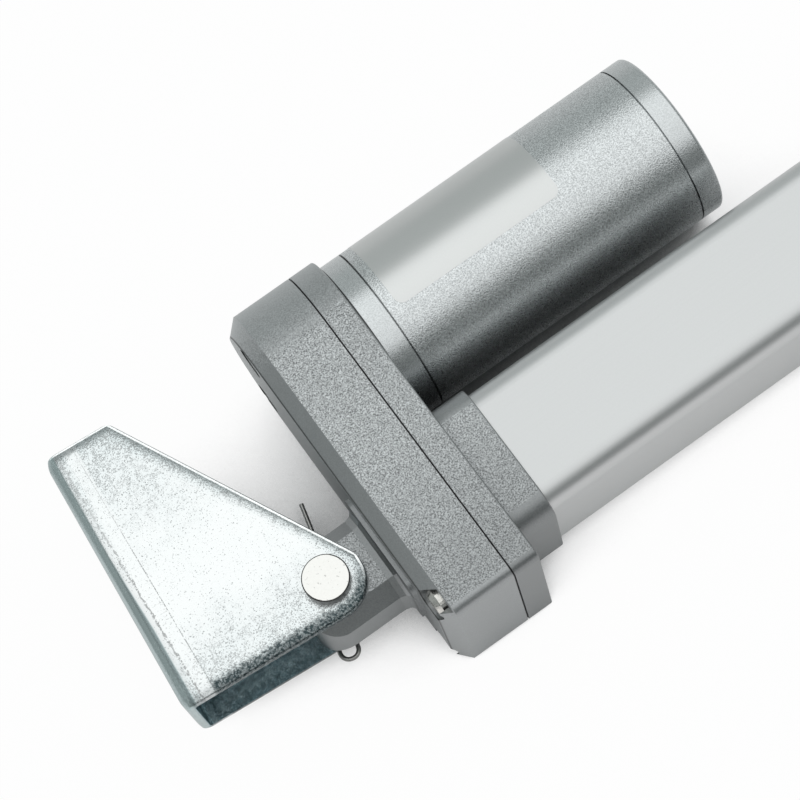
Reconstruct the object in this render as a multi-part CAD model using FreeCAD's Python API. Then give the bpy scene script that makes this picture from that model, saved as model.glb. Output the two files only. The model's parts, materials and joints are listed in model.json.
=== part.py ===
import FreeCAD, Part
import math
import os

V = FreeCAD.Vector

# Electric linear actuator with a folded rear bracket.
# Millimetres. X runs from the bracket's base face to the pivot pin, Z along the pin. Each piece of
# the actuator is made with its stroke along X and its motor on the +Y side of the rod, and is
# then swung about the pin.

# Travel and lengths along X
STROKE = 350.0
CLOSED_EXTRA = 105.0       # closed length between pin and rod hole, beyond the stroke
PIN_X = 38.0               # bracket base to pivot pin
PIN_TO_HOUSING = 13.3      # pivot pin to the housing's rear face
SWING = 4.8                # degrees about the pin, at rest

# Clearances
PRESS = 0.02               # radial gap of a seated piece
RUN = 0.08                 # radial gap of a running fit
SLIDE = 0.3                # gap beside a sliding or turning face

# Spur train from motor to screw
MODULE = 1.0
PINION_TEETH = 17
IDLER_TEETH = 18
SCREW_TEETH = 28
GEAR_W = 7.0
GEAR_RIM = 3.0
GEAR_HUB = 3.0
GEAR_WEB = 4.0
DEDENDUM = 1.25            # in modules
THIN = 0.12                # tooth thinning for backlash
PRESSURE_ANGLE = math.radians(20.0)

# Planetary stage in the motor
PLANET_MODULE = 0.6
SUN_TEETH = 15
PLANET_TEETH = 15
RING_TEETH = 45
PLANETS = 3
PLANET_THIN = 0.08
PLANET_W = 7.0
RING_GEAR_W = 12.0
RING_ADDENDUM = 0.65       # in modules

# Bracket
BRACKET_W = 22.2
BRACKET_T = 2.2
BRACKET_BEND = 3.0         # outer bend radius
EAR_NOSE = 8.0             # ear radius about the pin
EAR_TOP_Y = 54.0
EAR_TOP_X = 15.5           # ear's short edge
EAR_ROUND = 2.5
ROLL_W = 2.0               # rolled-over edge of the sheet's outer face
ROLL_DEPTH = 0.75
ROLL_SOFT = 6.0            # radius where the face starts to roll
ROLL_TIP = 0.8             # radius at the cut edge
BOLT_R = 3.25
BOLT_SPACING = 36.0

# Pivot pin and clip
PIN_R = 3.0
PIN_HEAD_R = 5.0
PIN_HEAD_T = 2.8
PIN_TAIL = 4.4             # pin beyond the ear
PIN_CHAMFER = 0.6
PIN_PLAY = 0.05
CLIP_R = 0.5
CLIP_DROP = 1.7            # ear face to clip wire
CLIP_TIP = 25.0
CLIP_EYE = 10.5
CLIP_BEND = 1.9
CLIP_EYE_W = 4.0
CLIP_NECK = 6.6            # pin to the start of the bowed leg
CLIP_LEG = 9.0             # bowed leg beyond the pin
CLIP_TURN = 13.4           # degrees off the Y axis

# Housing
HOUSING_W = 40.0
HOUSING_FOOT = 23.6        # rod axis to the housing's lower end
HOUSING_OVER = 1.0         # motor axis to the centre of the round end
HOUSING_CORNER = 2.5
HOUSING_WALL = 3.0
COVER_DEPTH = 17.0
COVER_CHAMFER = 3.2
COVER_WALL = 3.5
GASKET_T = 0.35
GASKET_INSET = 0.4
PLATE_T = 6.0
PLATE_ROUND = 0.4
FRONT_WALL = 3.0
COLLAR_L = 8.5
COLLAR_Y = 1.6
COLLAR_Z = 0.9
COLLAR_ROUND = 0.35
SOCKET_DEPTH = 5.5

# Pivot tang on the rear cover
PAD_RISE = 0.9
PAD_Y = 12.3
PAD_Z = 11.5
PAD_CORNER = 3.0
TANG_Y = 10.0
TANG_CHAMFER = 3.7
TANG_END = 7.8
TANG_ROUND = 6.0
TANG_FLARE = 2.2

# Housing screws
SCREW_INSET = 5.0          # lower screws, in from the flats
SCREW_FOOT = 5.7           # lower screws, up from the lower end
SCREW_RING = 13.3          # upper screws, from the centre of the round end
SCREW_ANGLE = 62.0         # degrees, at the motor end
SCREW_R = 1.75
SCREW_HEAD_R = 3.1
SCREW_HEAD_T = 2.2
SCREW_GRIP = 4.2           # thread in the front half
POCKET_R = 3.6
POCKET_DEPTH = 3.0
SLOT_UNDER = 0.5           # slot of a lower pocket, each side of its screw
SLOT_OVER = 4.0
SLOT_BACK = 1.5
BOSS_R = 3.9

# Cable grommet
GROMMET_R = 4.0
GROMMET_BORE = 2.4
GROMMET_LIP = 1.5
GROMMET_T = 1.0
GROMMET_Y = 31.0

# Motor
MOTOR_R = 19.0
CAN_WALL = 1.5
RING_L = 5.5
CAN_L = 67.6
CAP_L = 5.6
CAP_ROUND = 0.9
JOINT_GAP = 0.35           # open joint lines of the motor
SPIGOT_L = 2.0
SPIGOT_WALL = 2.0
REGISTER_R = 9.0
REGISTER_L = 2.2
MOTOR_SCREW_R = 1.5
MOTOR_SCREW_HEAD_R = 2.6
MOTOR_SCREW_HEAD_T = 2.0
MOTOR_SCREW_RING = 12.6
OUTPUT_R = 4.0
OUTPUT_BUSH_R = 6.0
CARRIER_R = 12.4
CARRIER_T = 2.7
PLANET_PIN_R = 1.5
MOTOR_SHAFT_R = 1.6
MOTOR_BUSH_R = 4.0
MOTOR_PLATE_T = 3.0
MAGNET_T = 3.2
MAGNET_OVER = 3.0          # magnet beyond each end of the core
MAGNET_SPAN = 130.0        # degrees
AIR_GAP = 0.6
CORE_SLOTS = 5
SLOT_W = 3.0
SLOT_FLOOR = 5.0
WINDING_GAP = 0.2
END_TURN_L = 4.2
END_TURN_R = 12.0
COMMUTATOR_R = 5.0
COMMUTATOR_L = 7.0
COMMUTATOR_BACK = 5.7      # commutator to the end cap's spigot
BRUSH_HOLDER_T = 4.0
BRUSH_W = 4.0
BRUSH_T = 3.0
BRUSH_L = 7.0

# Screw and its bearing
LEAD_SCREW_R = 5.0
SCREW_SEAT_R = 4.0
SCREW_TAIL_R = 3.0
REAR_BUSH_R = 4.5
REAR_BUSH_L = 5.0
REAR_BUSH_SINK = 1.5
BEARING_R = 11.0
BEARING_W = 7.0
BEARING_RIM = 2.0
BEARING_BORE_RIM = 2.1
BALL_R = 1.95
BALL_PLAY = 0.1
BALLS = 8
SEAT_WALL = 3.0
SEAT_STEP = 2.0            # bearing boss above the cavity floor
LIP_R = 9.0
IDLER_AXLE_R = 2.5
AXLE_SINK = 2.0

# Tube, nut and rod
TUBE_SIDE = 30.0
TUBE_WALL = 2.5
TUBE_CORNER = 5.0
TUBE_INNER_CORNER = 1.5
TUBE_GASKET_T = 1.0
PORT_R = 2.5
PORT_HOLE_R = 1.25
PORT_AT = 10.5
GUIDE_L = 18.0
GUIDE_BACK = 9.2           # tube gasket to the guide, closed
NUT_FLANGE_R = 9.0
NUT_FLANGE_T = 2.0
NUT_L = 20.0
NUT_COLLAR = 4.0           # guide wall behind the rod
ROD_R = 10.0
ROD_BORE = 7.0
SCREW_TAIL_OUT = 3.0       # screw beyond the nut, open
ROD_END_BACK = 14.0        # rod end's shoulder to its hole
ROD_END_FRONT = 9.0
ROD_END_HOLE_R = 3.2
ROD_END_FLAT = 8.5
ROD_END_SPIGOT = 11.0
ROD_END_CHAMFER = 1.5

# Front cap
CAP_WRAP = 4.0
CAP_T = 9.0
CAP_SWITCH_ROOM = 13.0     # guide to tube end, open
BUSH_WALL = 1.5
BUSH_BACK = 1.0            # rod bush behind the tube's end
WIPER_T = 2.4
CAP_SCREW_R = 1.25
CAP_SCREW_HEAD_R = 2.3
CAP_SCREW_HEAD_T = 1.6
CAP_SCREW_GRIP = 8.0

# Limit switches on their rail
RAIL_T = 1.0
SWITCH_L = 7.0
SWITCH_SIDE = 4.4
SWITCH_FROM_AXIS = 7.7
PLUNGER_R = 0.8
PLUNGER_OUT = 1.2
PLUNGER_IN = 2.0
PLUNGER_PLAY = 0.1

# Stations worked out from the sizes above
INVOLUTE = math.tan(PRESSURE_ANGLE) - PRESSURE_ANGLE
IDLER_Y = MODULE * (IDLER_TEETH + SCREW_TEETH) / 2
MOTOR_Y = IDLER_Y + MODULE * (PINION_TEETH + IDLER_TEETH) / 2
HEAD_Y = MOTOR_Y + HOUSING_OVER
PLANET_RING = PLANET_MODULE * (SUN_TEETH + PLANET_TEETH) / 2
REAR_X = PIN_X + PIN_TO_HOUSING
SPLIT_X = REAR_X + COVER_DEPTH
FRONT_X = SPLIT_X + GASKET_T
PLATE_X = FRONT_X + PLATE_T
COLLAR_X = PLATE_X + COLLAR_L
CAVITY_X = REAR_X + COVER_WALL
CAVITY_END = PLATE_X - FRONT_WALL
POCKET_X = REAR_X + POCKET_DEPTH
SEAT_X = CAVITY_END - SEAT_STEP
BEARING_END = SEAT_X + BEARING_W
SOCKET_X = COLLAR_X - SOCKET_DEPTH
TUBE_X = SOCKET_X + TUBE_GASKET_T
BUSH_END = CAVITY_X - REAR_BUSH_SINK + REAR_BUSH_L
GEAR_X = BUSH_END + 2 * SLIDE
GEAR_END = GEAR_X + GEAR_W
CAN_X = PLATE_X + RING_L
CAN_END = CAN_X + CAN_L
MOTOR_END = CAN_END + CAP_L
CAN_BORE = MOTOR_R - CAN_WALL
RING_GEAR_X = CAN_X + SPIGOT_L
PLATE_2_X = RING_GEAR_X + RING_GEAR_W
CARRIER_X = RING_GEAR_X + SLIDE
PLANET_X = CARRIER_X + CARRIER_T + SLIDE
CORE_X = PLATE_2_X + MOTOR_PLATE_T + END_TURN_L + 4 * SLIDE
COMMUTATOR_X = CAN_END - SPIGOT_L - COMMUTATOR_BACK - COMMUTATOR_L
CORE_END = COMMUTATOR_X - SLIDE - END_TURN_L
BRUSH_X = COMMUTATOR_X + COMMUTATOR_L / 2
GUIDE_X = TUBE_X + GUIDE_BACK
ROD_HOLE_X = PIN_X + STROKE + CLOSED_EXTRA
ROD_X = GUIDE_X + NUT_COLLAR
ROD_FRONT_X = ROD_HOLE_X - ROD_END_BACK
SCREW_FRONT_X = GUIDE_X + STROKE + NUT_L + SCREW_TAIL_OUT
TUBE_END = GUIDE_X + GUIDE_L + STROKE + CAP_SWITCH_ROOM
CAP_X = TUBE_END + CAP_T
TUBE_HALF = TUBE_SIDE / 2
TUBE_BORE = TUBE_HALF - TUBE_WALL
EAR_INNER = BRACKET_W / 2 - BRACKET_T
TANG_Z = EAR_INNER - SLIDE
CLIP_Z = -BRACKET_W / 2 - CLIP_DROP


def block(x0, x1, y0, y1, z0, z1):
    return Part.makeBox(x1 - x0, y1 - y0, z1 - z0, V(x0, y0, z0))


def rod_x(radius, x0, x1, y=0.0, z=0.0):
    return Part.makeCylinder(radius, x1 - x0, V(x0, y, z), V(1, 0, 0))


def sleeve_x(outer, inner, x0, x1, y=0.0, z=0.0):
    return rod_x(outer, x0, x1, y, z).cut(rod_x(inner, x0, x1, y, z))


def rod_z(radius, z0, z1, x, y=0.0):
    return Part.makeCylinder(radius, z1 - z0, V(x, y, z0))


def edges_at_x(shape, x):
    return [edge for edge in shape.Edges if all(abs(v.X - x) < 1e-6 for v in edge.Vertexes)]


def edges_along(edges, axis):
    return [edge for edge in edges if abs(edge.tangentAt(edge.FirstParameter).dot(axis)) > 0.9]


def bar_x(x0, x1, half_y, half_z, radius):
    bar = block(x0, x1, -half_y, half_y, -half_z, half_z)
    return bar.makeFillet(radius, edges_along(bar.Edges, V(1, 0, 0)))


def turned_x(shape, degrees, y):
    turned = shape.copy()
    turned.rotate(V(0, y, 0), V(1, 0, 0), degrees)
    return turned


def polar(radius, angle, y=0.0):
    return y + radius * math.cos(angle), radius * math.sin(angle)


# Gears
def half_tooth(base_r, pitch_r, teeth, thin, r):
    # Half the angle that a tooth fills at radius r
    slope = math.acos(base_r / r)
    return math.pi / (2 * teeth) - thin / (2 * pitch_r) + INVOLUTE - (math.tan(slope) - slope)


def toothed_face(x, y, z, module, teeth, tip_r, root_r, thin, phase):
    pitch_r = module * teeth / 2
    base_r = pitch_r * math.cos(PRESSURE_ANGLE)
    flank_r = max(base_r, root_r)
    middle_r = (flank_r + tip_r) / 2

    def point(r, angle):
        return V(x, y + r * math.cos(angle), z + r * math.sin(angle))

    edges = []
    for tooth in range(teeth):
        centre = phase + 2 * math.pi * tooth / teeth
        low = half_tooth(base_r, pitch_r, teeth, thin, flank_r)
        mid = half_tooth(base_r, pitch_r, teeth, thin, middle_r)
        top = half_tooth(base_r, pitch_r, teeth, thin, tip_r)
        foot = point(root_r, centre - low)
        start = point(flank_r, centre - low)
        tip = point(tip_r, centre - top)
        far_tip = point(tip_r, centre + top)
        end = point(flank_r, centre + low)
        far_foot = point(root_r, centre + low)
        next_foot = point(root_r, centre + 2 * math.pi / teeth - low)
        if flank_r > root_r:
            edges.append(Part.makeLine(foot, start))
        edges.append(Part.Arc(start, point(middle_r, centre - mid), tip).toShape())
        edges.append(Part.makeLine(tip, far_tip))
        edges.append(Part.Arc(far_tip, point(middle_r, centre + mid), end).toShape())
        if flank_r > root_r:
            edges.append(Part.makeLine(end, far_foot))
        edges.append(Part.makeLine(far_foot, next_foot))
    return Part.Face(Part.Wire(edges))


def spur_gear(x, width, y, z, module, teeth, thin, phase, bore_r):
    pitch_r = module * teeth / 2
    root_r = pitch_r - DEDENDUM * module
    face = toothed_face(x, y, z, module, teeth, pitch_r + module, root_r, thin, phase)
    return face.extrude(V(width, 0, 0)).cut(rod_x(bore_r, x, x + width, y, z))


def screw_gear():
    gear = spur_gear(GEAR_X, GEAR_W, 0, 0, MODULE, SCREW_TEETH, THIN, 0, SCREW_SEAT_R + PRESS)
    rim = MODULE * (SCREW_TEETH / 2 - DEDENDUM) - GEAR_RIM
    hub = SCREW_SEAT_R + GEAR_HUB
    recess = (GEAR_W - GEAR_WEB) / 2
    gear = gear.cut(sleeve_x(rim, hub, GEAR_X, GEAR_X + recess))
    gear = gear.cut(sleeve_x(rim, hub, GEAR_END - recess, GEAR_END))
    return gear.fuse(sleeve_x(hub, SCREW_SEAT_R + PRESS, GEAR_END, SEAT_X))


def idler_gear():
    phase = math.pi / IDLER_TEETH
    return spur_gear(GEAR_X, GEAR_W, IDLER_Y, 0, MODULE, IDLER_TEETH, THIN, phase, IDLER_AXLE_R + RUN)


def drive_pinion():
    return spur_gear(GEAR_X, GEAR_W, MOTOR_Y, 0, MODULE, PINION_TEETH, THIN, math.pi, OUTPUT_R + PRESS)


def sun_gear():
    return spur_gear(PLANET_X, PLANET_W, MOTOR_Y, 0, PLANET_MODULE, SUN_TEETH, PLANET_THIN, 0,
                     MOTOR_SHAFT_R + PRESS)


def planet_gear(index):
    angle = 2 * math.pi * index / PLANETS
    y, z = polar(PLANET_RING, angle, MOTOR_Y)
    return spur_gear(PLANET_X, PLANET_W, y, z, PLANET_MODULE, PLANET_TEETH, PLANET_THIN, angle,
                     PLANET_PIN_R + RUN)


def ring_gear():
    pitch_r = PLANET_MODULE * RING_TEETH / 2
    tip_r = pitch_r - RING_ADDENDUM * PLANET_MODULE
    root_r = pitch_r + DEDENDUM * PLANET_MODULE
    space = toothed_face(RING_GEAR_X, MOTOR_Y, 0, PLANET_MODULE, RING_TEETH, root_r, tip_r, -PLANET_THIN, 0)
    disc = rod_x(CAN_BORE - PRESS, RING_GEAR_X, PLATE_2_X, MOTOR_Y)
    return disc.cut(space.extrude(V(RING_GEAR_W, 0, 0)))


def planet_carrier():
    disc = rod_x(CARRIER_R, CARRIER_X, CARRIER_X + CARRIER_T, MOTOR_Y)
    shaft = rod_x(OUTPUT_R, GEAR_X, CARRIER_X, MOTOR_Y)
    carrier = disc.fuse(shaft)
    for index in range(PLANETS):
        y, z = polar(PLANET_RING, 2 * math.pi * index / PLANETS, MOTOR_Y)
        carrier = carrier.cut(rod_x(PLANET_PIN_R + PRESS, CARRIER_X, CARRIER_X + CARRIER_T, y, z))
    return carrier


def planet_pins():
    pins = []
    for index in range(PLANETS):
        y, z = polar(PLANET_RING, 2 * math.pi * index / PLANETS, MOTOR_Y)
        pins.append(rod_x(PLANET_PIN_R, CARRIER_X, PLANET_X + PLANET_W + SLIDE, y, z))
    return Part.makeCompound(pins)


# Bracket, pin and clip
def rear_bracket():
    half = BRACKET_W / 2
    depth = PIN_X + EAR_NOSE
    length = EAR_TOP_Y + EAR_NOSE
    channel = block(0, depth, -EAR_NOSE, EAR_TOP_Y, -half, half)
    bends = edges_along(edges_at_x(channel, 0), V(0, 1, 0))
    channel = channel.makeFillet(BRACKET_BEND, bends)
    inside = block(BRACKET_T, depth + 1, -EAR_NOSE - 1, EAR_TOP_Y + 1, -EAR_INNER, EAR_INNER)
    creases = edges_along(edges_at_x(inside, BRACKET_T), V(0, 1, 0))
    channel = channel.cut(inside.makeFillet(BRACKET_BEND - BRACKET_T, creases))
    channel = channel.common(ear_outline().extrude(V(0, 0, BRACKET_W)))
    channel = channel.makeChamfer(ROLL_W, ROLL_DEPTH, rim_edges(channel, 0))
    channel = channel.makeFillet(ROLL_SOFT, rim_edges(channel, 0))
    channel = channel.makeFillet(ROLL_TIP, rim_edges(channel, ROLL_DEPTH))
    channel = channel.cut(rod_z(PIN_R + RUN, -half, half, PIN_X))
    middle = length / 2 - EAR_NOSE
    for side in (-1, 1):
        channel = channel.cut(rod_x(BOLT_R, 0, BRACKET_T, middle + side * BOLT_SPACING / 2))
    return channel


def sheet_depth(point):
    # Depth of a point below the bracket's outer skin
    side = abs(point.z) - BRACKET_W / 2
    if point.x >= BRACKET_BEND:
        return -side
    if side + BRACKET_BEND <= 0:
        return point.x
    return BRACKET_BEND - math.hypot(point.x - BRACKET_BEND, side + BRACKET_BEND)


def rim_edges(channel, depth):
    # Edges that run round the sheet's rim at one depth, without the lines where its bends start
    rim = []
    for edge in channel.Edges:
        step = (edge.LastParameter - edge.FirstParameter) / 4
        points = [edge.valueAt(edge.FirstParameter + step * at) for at in range(5)]
        level = all(abs(sheet_depth(point) - depth) < 1e-5 for point in points)
        bend_line = any(abs(points[2].x - x) < 1e-6 for x in (0, BRACKET_BEND))
        if level and not (bend_line and edges_along([edge], V(0, 1, 0))):
            rim.append(edge)
    return rim


def ear_outline():
    # Trapezoid with a round nose about the pin; its slanted edge is tangent to the nose
    z = -BRACKET_W / 2
    far = math.hypot(PIN_X - EAR_TOP_X, EAR_TOP_Y)
    lean = math.atan2(EAR_TOP_Y, EAR_TOP_X - PIN_X) - math.acos(EAR_NOSE / far)
    nose = V(PIN_X + EAR_NOSE * math.cos(lean), EAR_NOSE * math.sin(lean), z)
    half_way = (lean - math.pi / 2) / 2
    front = V(PIN_X + EAR_NOSE * math.cos(half_way), EAR_NOSE * math.sin(half_way), z)
    under = V(PIN_X, -EAR_NOSE, z)
    heel = V(0, -EAR_NOSE, z)
    back = V(0, EAR_TOP_Y, z)
    top = V(EAR_TOP_X, EAR_TOP_Y, z)
    slope = (nose - top).normalize()
    opening = math.acos(slope.x)
    reach = EAR_ROUND * math.tan((math.pi - opening) / 2 - math.pi / 2 + opening)
    along = V(EAR_TOP_X - reach, EAR_TOP_Y, z)
    down = top + slope * reach
    middle = bend_middle(along, top, down)
    edges = [Part.makeLine(heel, back), Part.makeLine(back, along), Part.Arc(along, middle, down).toShape()]
    edges += [Part.makeLine(down, nose), Part.Arc(nose, front, under).toShape(), Part.makeLine(under, heel)]
    return Part.Face(Part.Wire(edges))


def bend_middle(start, corner, end):
    # Middle of the arc that is tangent to both legs of a corner at start and end
    leg = (start - corner).Length
    chord = (start - end).Length
    sine = chord / 2 / leg
    radius = leg * sine / math.sqrt(1 - sine * sine)
    inward = ((start + end) * 0.5 - corner).normalize()
    return corner + inward * (math.hypot(radius, leg) - radius)


def bent_wire(points, bend, wire_r):
    # Round wire along straight runs joined by tangent arcs
    edges = []
    start = points[0]
    for corner, after in zip(points[1:-1], points[2:]):
        back = (start - corner).normalize()
        ahead = (after - corner).normalize()
        half = back.getAngle(ahead) / 2
        reach = bend / math.tan(half)
        enter = corner + back * reach
        leave = corner + ahead * reach
        edges.append(Part.makeLine(start, enter))
        edges.append(Part.Arc(enter, bend_middle(enter, corner, leave), leave).toShape())
        start = leave
    edges.append(Part.makeLine(start, points[-1]))
    ring = Part.Wire(Part.makeCircle(wire_r, points[0], points[1] - points[0]))
    return Part.Wire(edges).makePipeShell([ring], True, True)


def clevis_pin():
    half = BRACKET_W / 2
    shank = rod_z(PIN_R, -half - PIN_TAIL, half, PIN_X)
    tip = [edge for edge in shank.Edges if all(abs(v.Z + half + PIN_TAIL) < 1e-6 for v in edge.Vertexes)]
    shank = shank.makeChamfer(PIN_CHAMFER, tip)
    head = rod_z(PIN_HEAD_R, half, half + PIN_HEAD_T, PIN_X)
    rim = [edge for edge in head.Edges if all(abs(v.Z - half - PIN_HEAD_T) < 1e-6 for v in edge.Vertexes)]
    head = head.makeFillet(PIN_CHAMFER / 2, rim)
    turn = math.radians(CLIP_TURN)
    along = V(math.sin(turn), math.cos(turn), 0)
    hole = Part.makeCylinder(CLIP_R + RUN, 4 * PIN_R, V(PIN_X, 0, CLIP_Z) - along * (2 * PIN_R), along)
    return shank.fuse(head).cut(hole)


def hairpin_clip():
    turn = math.radians(CLIP_TURN)
    along = V(math.sin(turn), math.cos(turn), 0)
    across = V(-math.cos(turn), math.sin(turn), 0)
    hub = V(PIN_X, 0, CLIP_Z)
    over = PIN_R + CLIP_R + RUN
    route = [(CLIP_TIP, 0), (-CLIP_EYE, 0), (-CLIP_EYE, CLIP_EYE_W), (-CLIP_NECK, CLIP_EYE_W), (0, over),
             (CLIP_LEG, over + CLIP_R)]
    points = [hub + along * u + across * v for u, v in route]
    return bent_wire(points, CLIP_BEND, CLIP_R)


# Gear housing
def housing_wire(x, inset):
    half = HOUSING_W / 2 - inset
    foot = -HOUSING_FOOT + inset
    corner = max(HOUSING_CORNER - inset, HOUSING_CORNER / 5)
    cut = corner * (1 - math.sqrt(0.5))
    near = V(x, HEAD_Y, half)
    near_low = V(x, foot + corner, half)
    low_near = V(x, foot, half - corner)
    low_far = V(x, foot, corner - half)
    far_low = V(x, foot + corner, -half)
    far = V(x, HEAD_Y, -half)
    edges = [Part.makeLine(near, near_low)]
    edges.append(Part.Arc(near_low, V(x, foot + cut, half - cut), low_near).toShape())
    edges.append(Part.makeLine(low_near, low_far))
    edges.append(Part.Arc(low_far, V(x, foot + cut, cut - half), far_low).toShape())
    edges.append(Part.makeLine(far_low, far))
    edges.append(Part.Arc(far, V(x, HEAD_Y + half, 0), near).toShape())
    return Part.Wire(edges)


def housing_prism(x0, x1, inset):
    return Part.Face(housing_wire(x0, inset)).extrude(V(x1 - x0, 0, 0))


def housing_screw_places():
    side = HOUSING_W / 2 - SCREW_INSET
    angle = math.radians(SCREW_ANGLE)
    places = []
    for sign in (-1, 1):
        places.append((SCREW_FOOT - HOUSING_FOOT, sign * side))
        places.append(polar(SCREW_RING, sign * angle, HEAD_Y))
    return places


def tang():
    end = PIN_X - TANG_END
    body = block(end, REAR_X, -TANG_Y, TANG_Y, -TANG_Z, TANG_Z)
    body = body.makeChamfer(TANG_CHAMFER, edges_along(body.Edges, V(1, 0, 0)))
    rounding = block(end, REAR_X, -TANG_Y, TANG_Y, -TANG_Z, TANG_Z)
    corners = edges_along(edges_at_x(rounding, end), V(0, 0, 1))
    return body.common(rounding.makeFillet(TANG_ROUND, corners))


def tang_flare():
    # Sloped foot of the tang, from its own section out to the pad
    def section(x, grow):
        y = TANG_Y + grow
        z = TANG_Z + grow
        cut = TANG_CHAMFER + grow * (2 - math.sqrt(2))
        corners = [(y - cut, z), (y, z - cut), (y, cut - z), (y - cut, -z)]
        corners += [(-b, -c) for b, c in corners]
        return Part.makePolygon([V(x, b, c) for b, c in corners] + [V(x, *corners[0])])

    pad_x = REAR_X - PAD_RISE
    steps = [(0, 0), (0.6, 0.17), (0.9, 0.5), (1.0, 1.0)]
    sections = [section(pad_x - TANG_FLARE * (1 - at), TANG_FLARE * grow) for at, grow in steps]
    return Part.makeLoft(sections, True, True)


def rear_cover():
    edge_x = REAR_X + COVER_CHAMFER
    cover = Part.makeLoft([housing_wire(REAR_X, COVER_CHAMFER), housing_wire(edge_x, 0)], True, True)
    cover = cover.fuse(housing_prism(edge_x, SPLIT_X, 0))
    cover = cover.cut(housing_prism(CAVITY_X, SPLIT_X, HOUSING_WALL))
    cover = cover.fuse(bar_x(REAR_X - PAD_RISE, CAVITY_X, PAD_Y, PAD_Z, PAD_CORNER))
    cover = cover.fuse(tang_flare())
    cover = cover.fuse(tang())
    cover = cover.fuse(rod_x(REAR_BUSH_R + SEAT_WALL, CAVITY_X, BUSH_END))
    cover = cover.fuse(rod_x(IDLER_AXLE_R + SEAT_WALL, CAVITY_X, BUSH_END, IDLER_Y))
    for y, z in housing_screw_places():
        cover = cover.fuse(rod_x(BOSS_R, REAR_X + COVER_CHAMFER, SPLIT_X, y, z))
    for y, z in housing_screw_places():
        cover = cover.cut(screw_pocket(y, z))
        cover = cover.cut(rod_x(SCREW_R + RUN, POCKET_X, SPLIT_X, y, z))
    cover = cover.cut(rod_x(REAR_BUSH_R + PRESS, BUSH_END - REAR_BUSH_L, BUSH_END))
    cover = cover.cut(rod_x(IDLER_AXLE_R + PRESS, CAVITY_X - AXLE_SINK, BUSH_END, IDLER_Y))
    cover = cover.cut(rod_z(PIN_R + PIN_PLAY, -TANG_Z, TANG_Z, PIN_X))
    side = -HOUSING_W / 2
    hole_x = (REAR_X + SPLIT_X) / 2 + GROMMET_T
    cover = cover.cut(rod_z(GROMMET_R + PRESS, side, side + HOUSING_WALL, hole_x, GROMMET_Y))
    cover = cover.cut(rod_z(GROMMET_R + GROMMET_LIP + PRESS, side, side + GROMMET_T, hole_x, GROMMET_Y))
    return cover.removeSplitter()


def screw_pocket(y, z):
    pocket = rod_x(POCKET_R, REAR_X - 1, POCKET_X, y, z)
    if y > 0:
        return pocket
    # A lower pocket runs out through the chamfer, square to the housing's corner
    side = math.copysign(1, z)
    walls = sorted([z - side * SLOT_UNDER, z + side * SLOT_OVER])
    slot = block(REAR_X - 1, POCKET_X, y - HOUSING_W, y + SLOT_BACK, walls[0], walls[1])
    slot.rotate(V(0, y, z), V(1, 0, 0), -45 * side)
    return pocket.fuse(slot)


def cable_grommet():
    side = -HOUSING_W / 2
    hole_x = (REAR_X + SPLIT_X) / 2 + GROMMET_T
    inside = side + HOUSING_WALL
    grommet = rod_z(GROMMET_R + GROMMET_LIP, side + SLIDE, side + GROMMET_T, hole_x, GROMMET_Y)
    grommet = grommet.fuse(rod_z(GROMMET_R, side + SLIDE, inside + GROMMET_T, hole_x, GROMMET_Y))
    grommet = grommet.fuse(rod_z(GROMMET_R + GROMMET_T, inside, inside + GROMMET_T, hole_x, GROMMET_Y))
    return grommet.cut(rod_z(GROMMET_BORE, side, inside + GROMMET_T, hole_x, GROMMET_Y))


def housing_gasket():
    outer = housing_prism(SPLIT_X, FRONT_X, GASKET_INSET)
    return outer.cut(housing_prism(SPLIT_X, FRONT_X, HOUSING_WALL))


def housing_screws():
    screws = []
    for y, z in housing_screw_places():
        head = rod_x(SCREW_HEAD_R, POCKET_X - SCREW_HEAD_T, POCKET_X, y, z)
        head = head.makeFillet(SCREW_HEAD_T / 2, edges_at_x(head, POCKET_X - SCREW_HEAD_T))
        screws.append(head.fuse(rod_x(SCREW_R, POCKET_X, FRONT_X + SCREW_GRIP, y, z)))
    return Part.makeCompound(screws)


def collar_bar(x0, x1, grow):
    return bar_x(x0, x1, TUBE_HALF + COLLAR_Y + grow, TUBE_HALF + COLLAR_Z + grow, TUBE_CORNER + COLLAR_Z)


def gear_housing():
    plate = housing_prism(FRONT_X, PLATE_X, 0)
    plate = plate.makeFillet(PLATE_ROUND, edges_at_x(plate, PLATE_X))
    collar = collar_bar(CAVITY_END, COLLAR_X, 0)
    collar = collar.makeFillet(COLLAR_ROUND, edges_at_x(collar, COLLAR_X))
    body = plate.cut(housing_prism(FRONT_X, CAVITY_END, HOUSING_WALL))
    body = body.fuse(collar)
    body = body.fuse(rod_x(BEARING_R + SEAT_WALL, SEAT_X, CAVITY_END))
    for y, z in housing_screw_places():
        body = body.fuse(rod_x(BOSS_R, FRONT_X, CAVITY_END, y, z))
    body = body.cut(rod_x(BEARING_R + PRESS, SEAT_X, BEARING_END))
    body = body.cut(rod_x(LIP_R, BEARING_END, SOCKET_X))
    body = body.cut(bar_x(SOCKET_X, COLLAR_X, TUBE_HALF + PRESS, TUBE_HALF + PRESS, TUBE_CORNER))
    body = body.cut(rod_x(REGISTER_R + PRESS, CAVITY_END, PLATE_X, MOTOR_Y))
    body = body.cut(rod_x(IDLER_AXLE_R + PRESS, CAVITY_END, CAVITY_END + AXLE_SINK, IDLER_Y))
    for y, z in housing_screw_places():
        body = body.cut(rod_x(SCREW_R + PRESS, FRONT_X, FRONT_X + SCREW_GRIP + SLIDE, y, z))
    for y, z in motor_screw_places():
        body = body.cut(rod_x(MOTOR_SCREW_R + RUN, CAVITY_END, PLATE_X, y, z))
    return body.removeSplitter()


def idler_axle():
    return rod_x(IDLER_AXLE_R, CAVITY_X - AXLE_SINK + SLIDE, CAVITY_END + AXLE_SINK - SLIDE, IDLER_Y)


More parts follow.
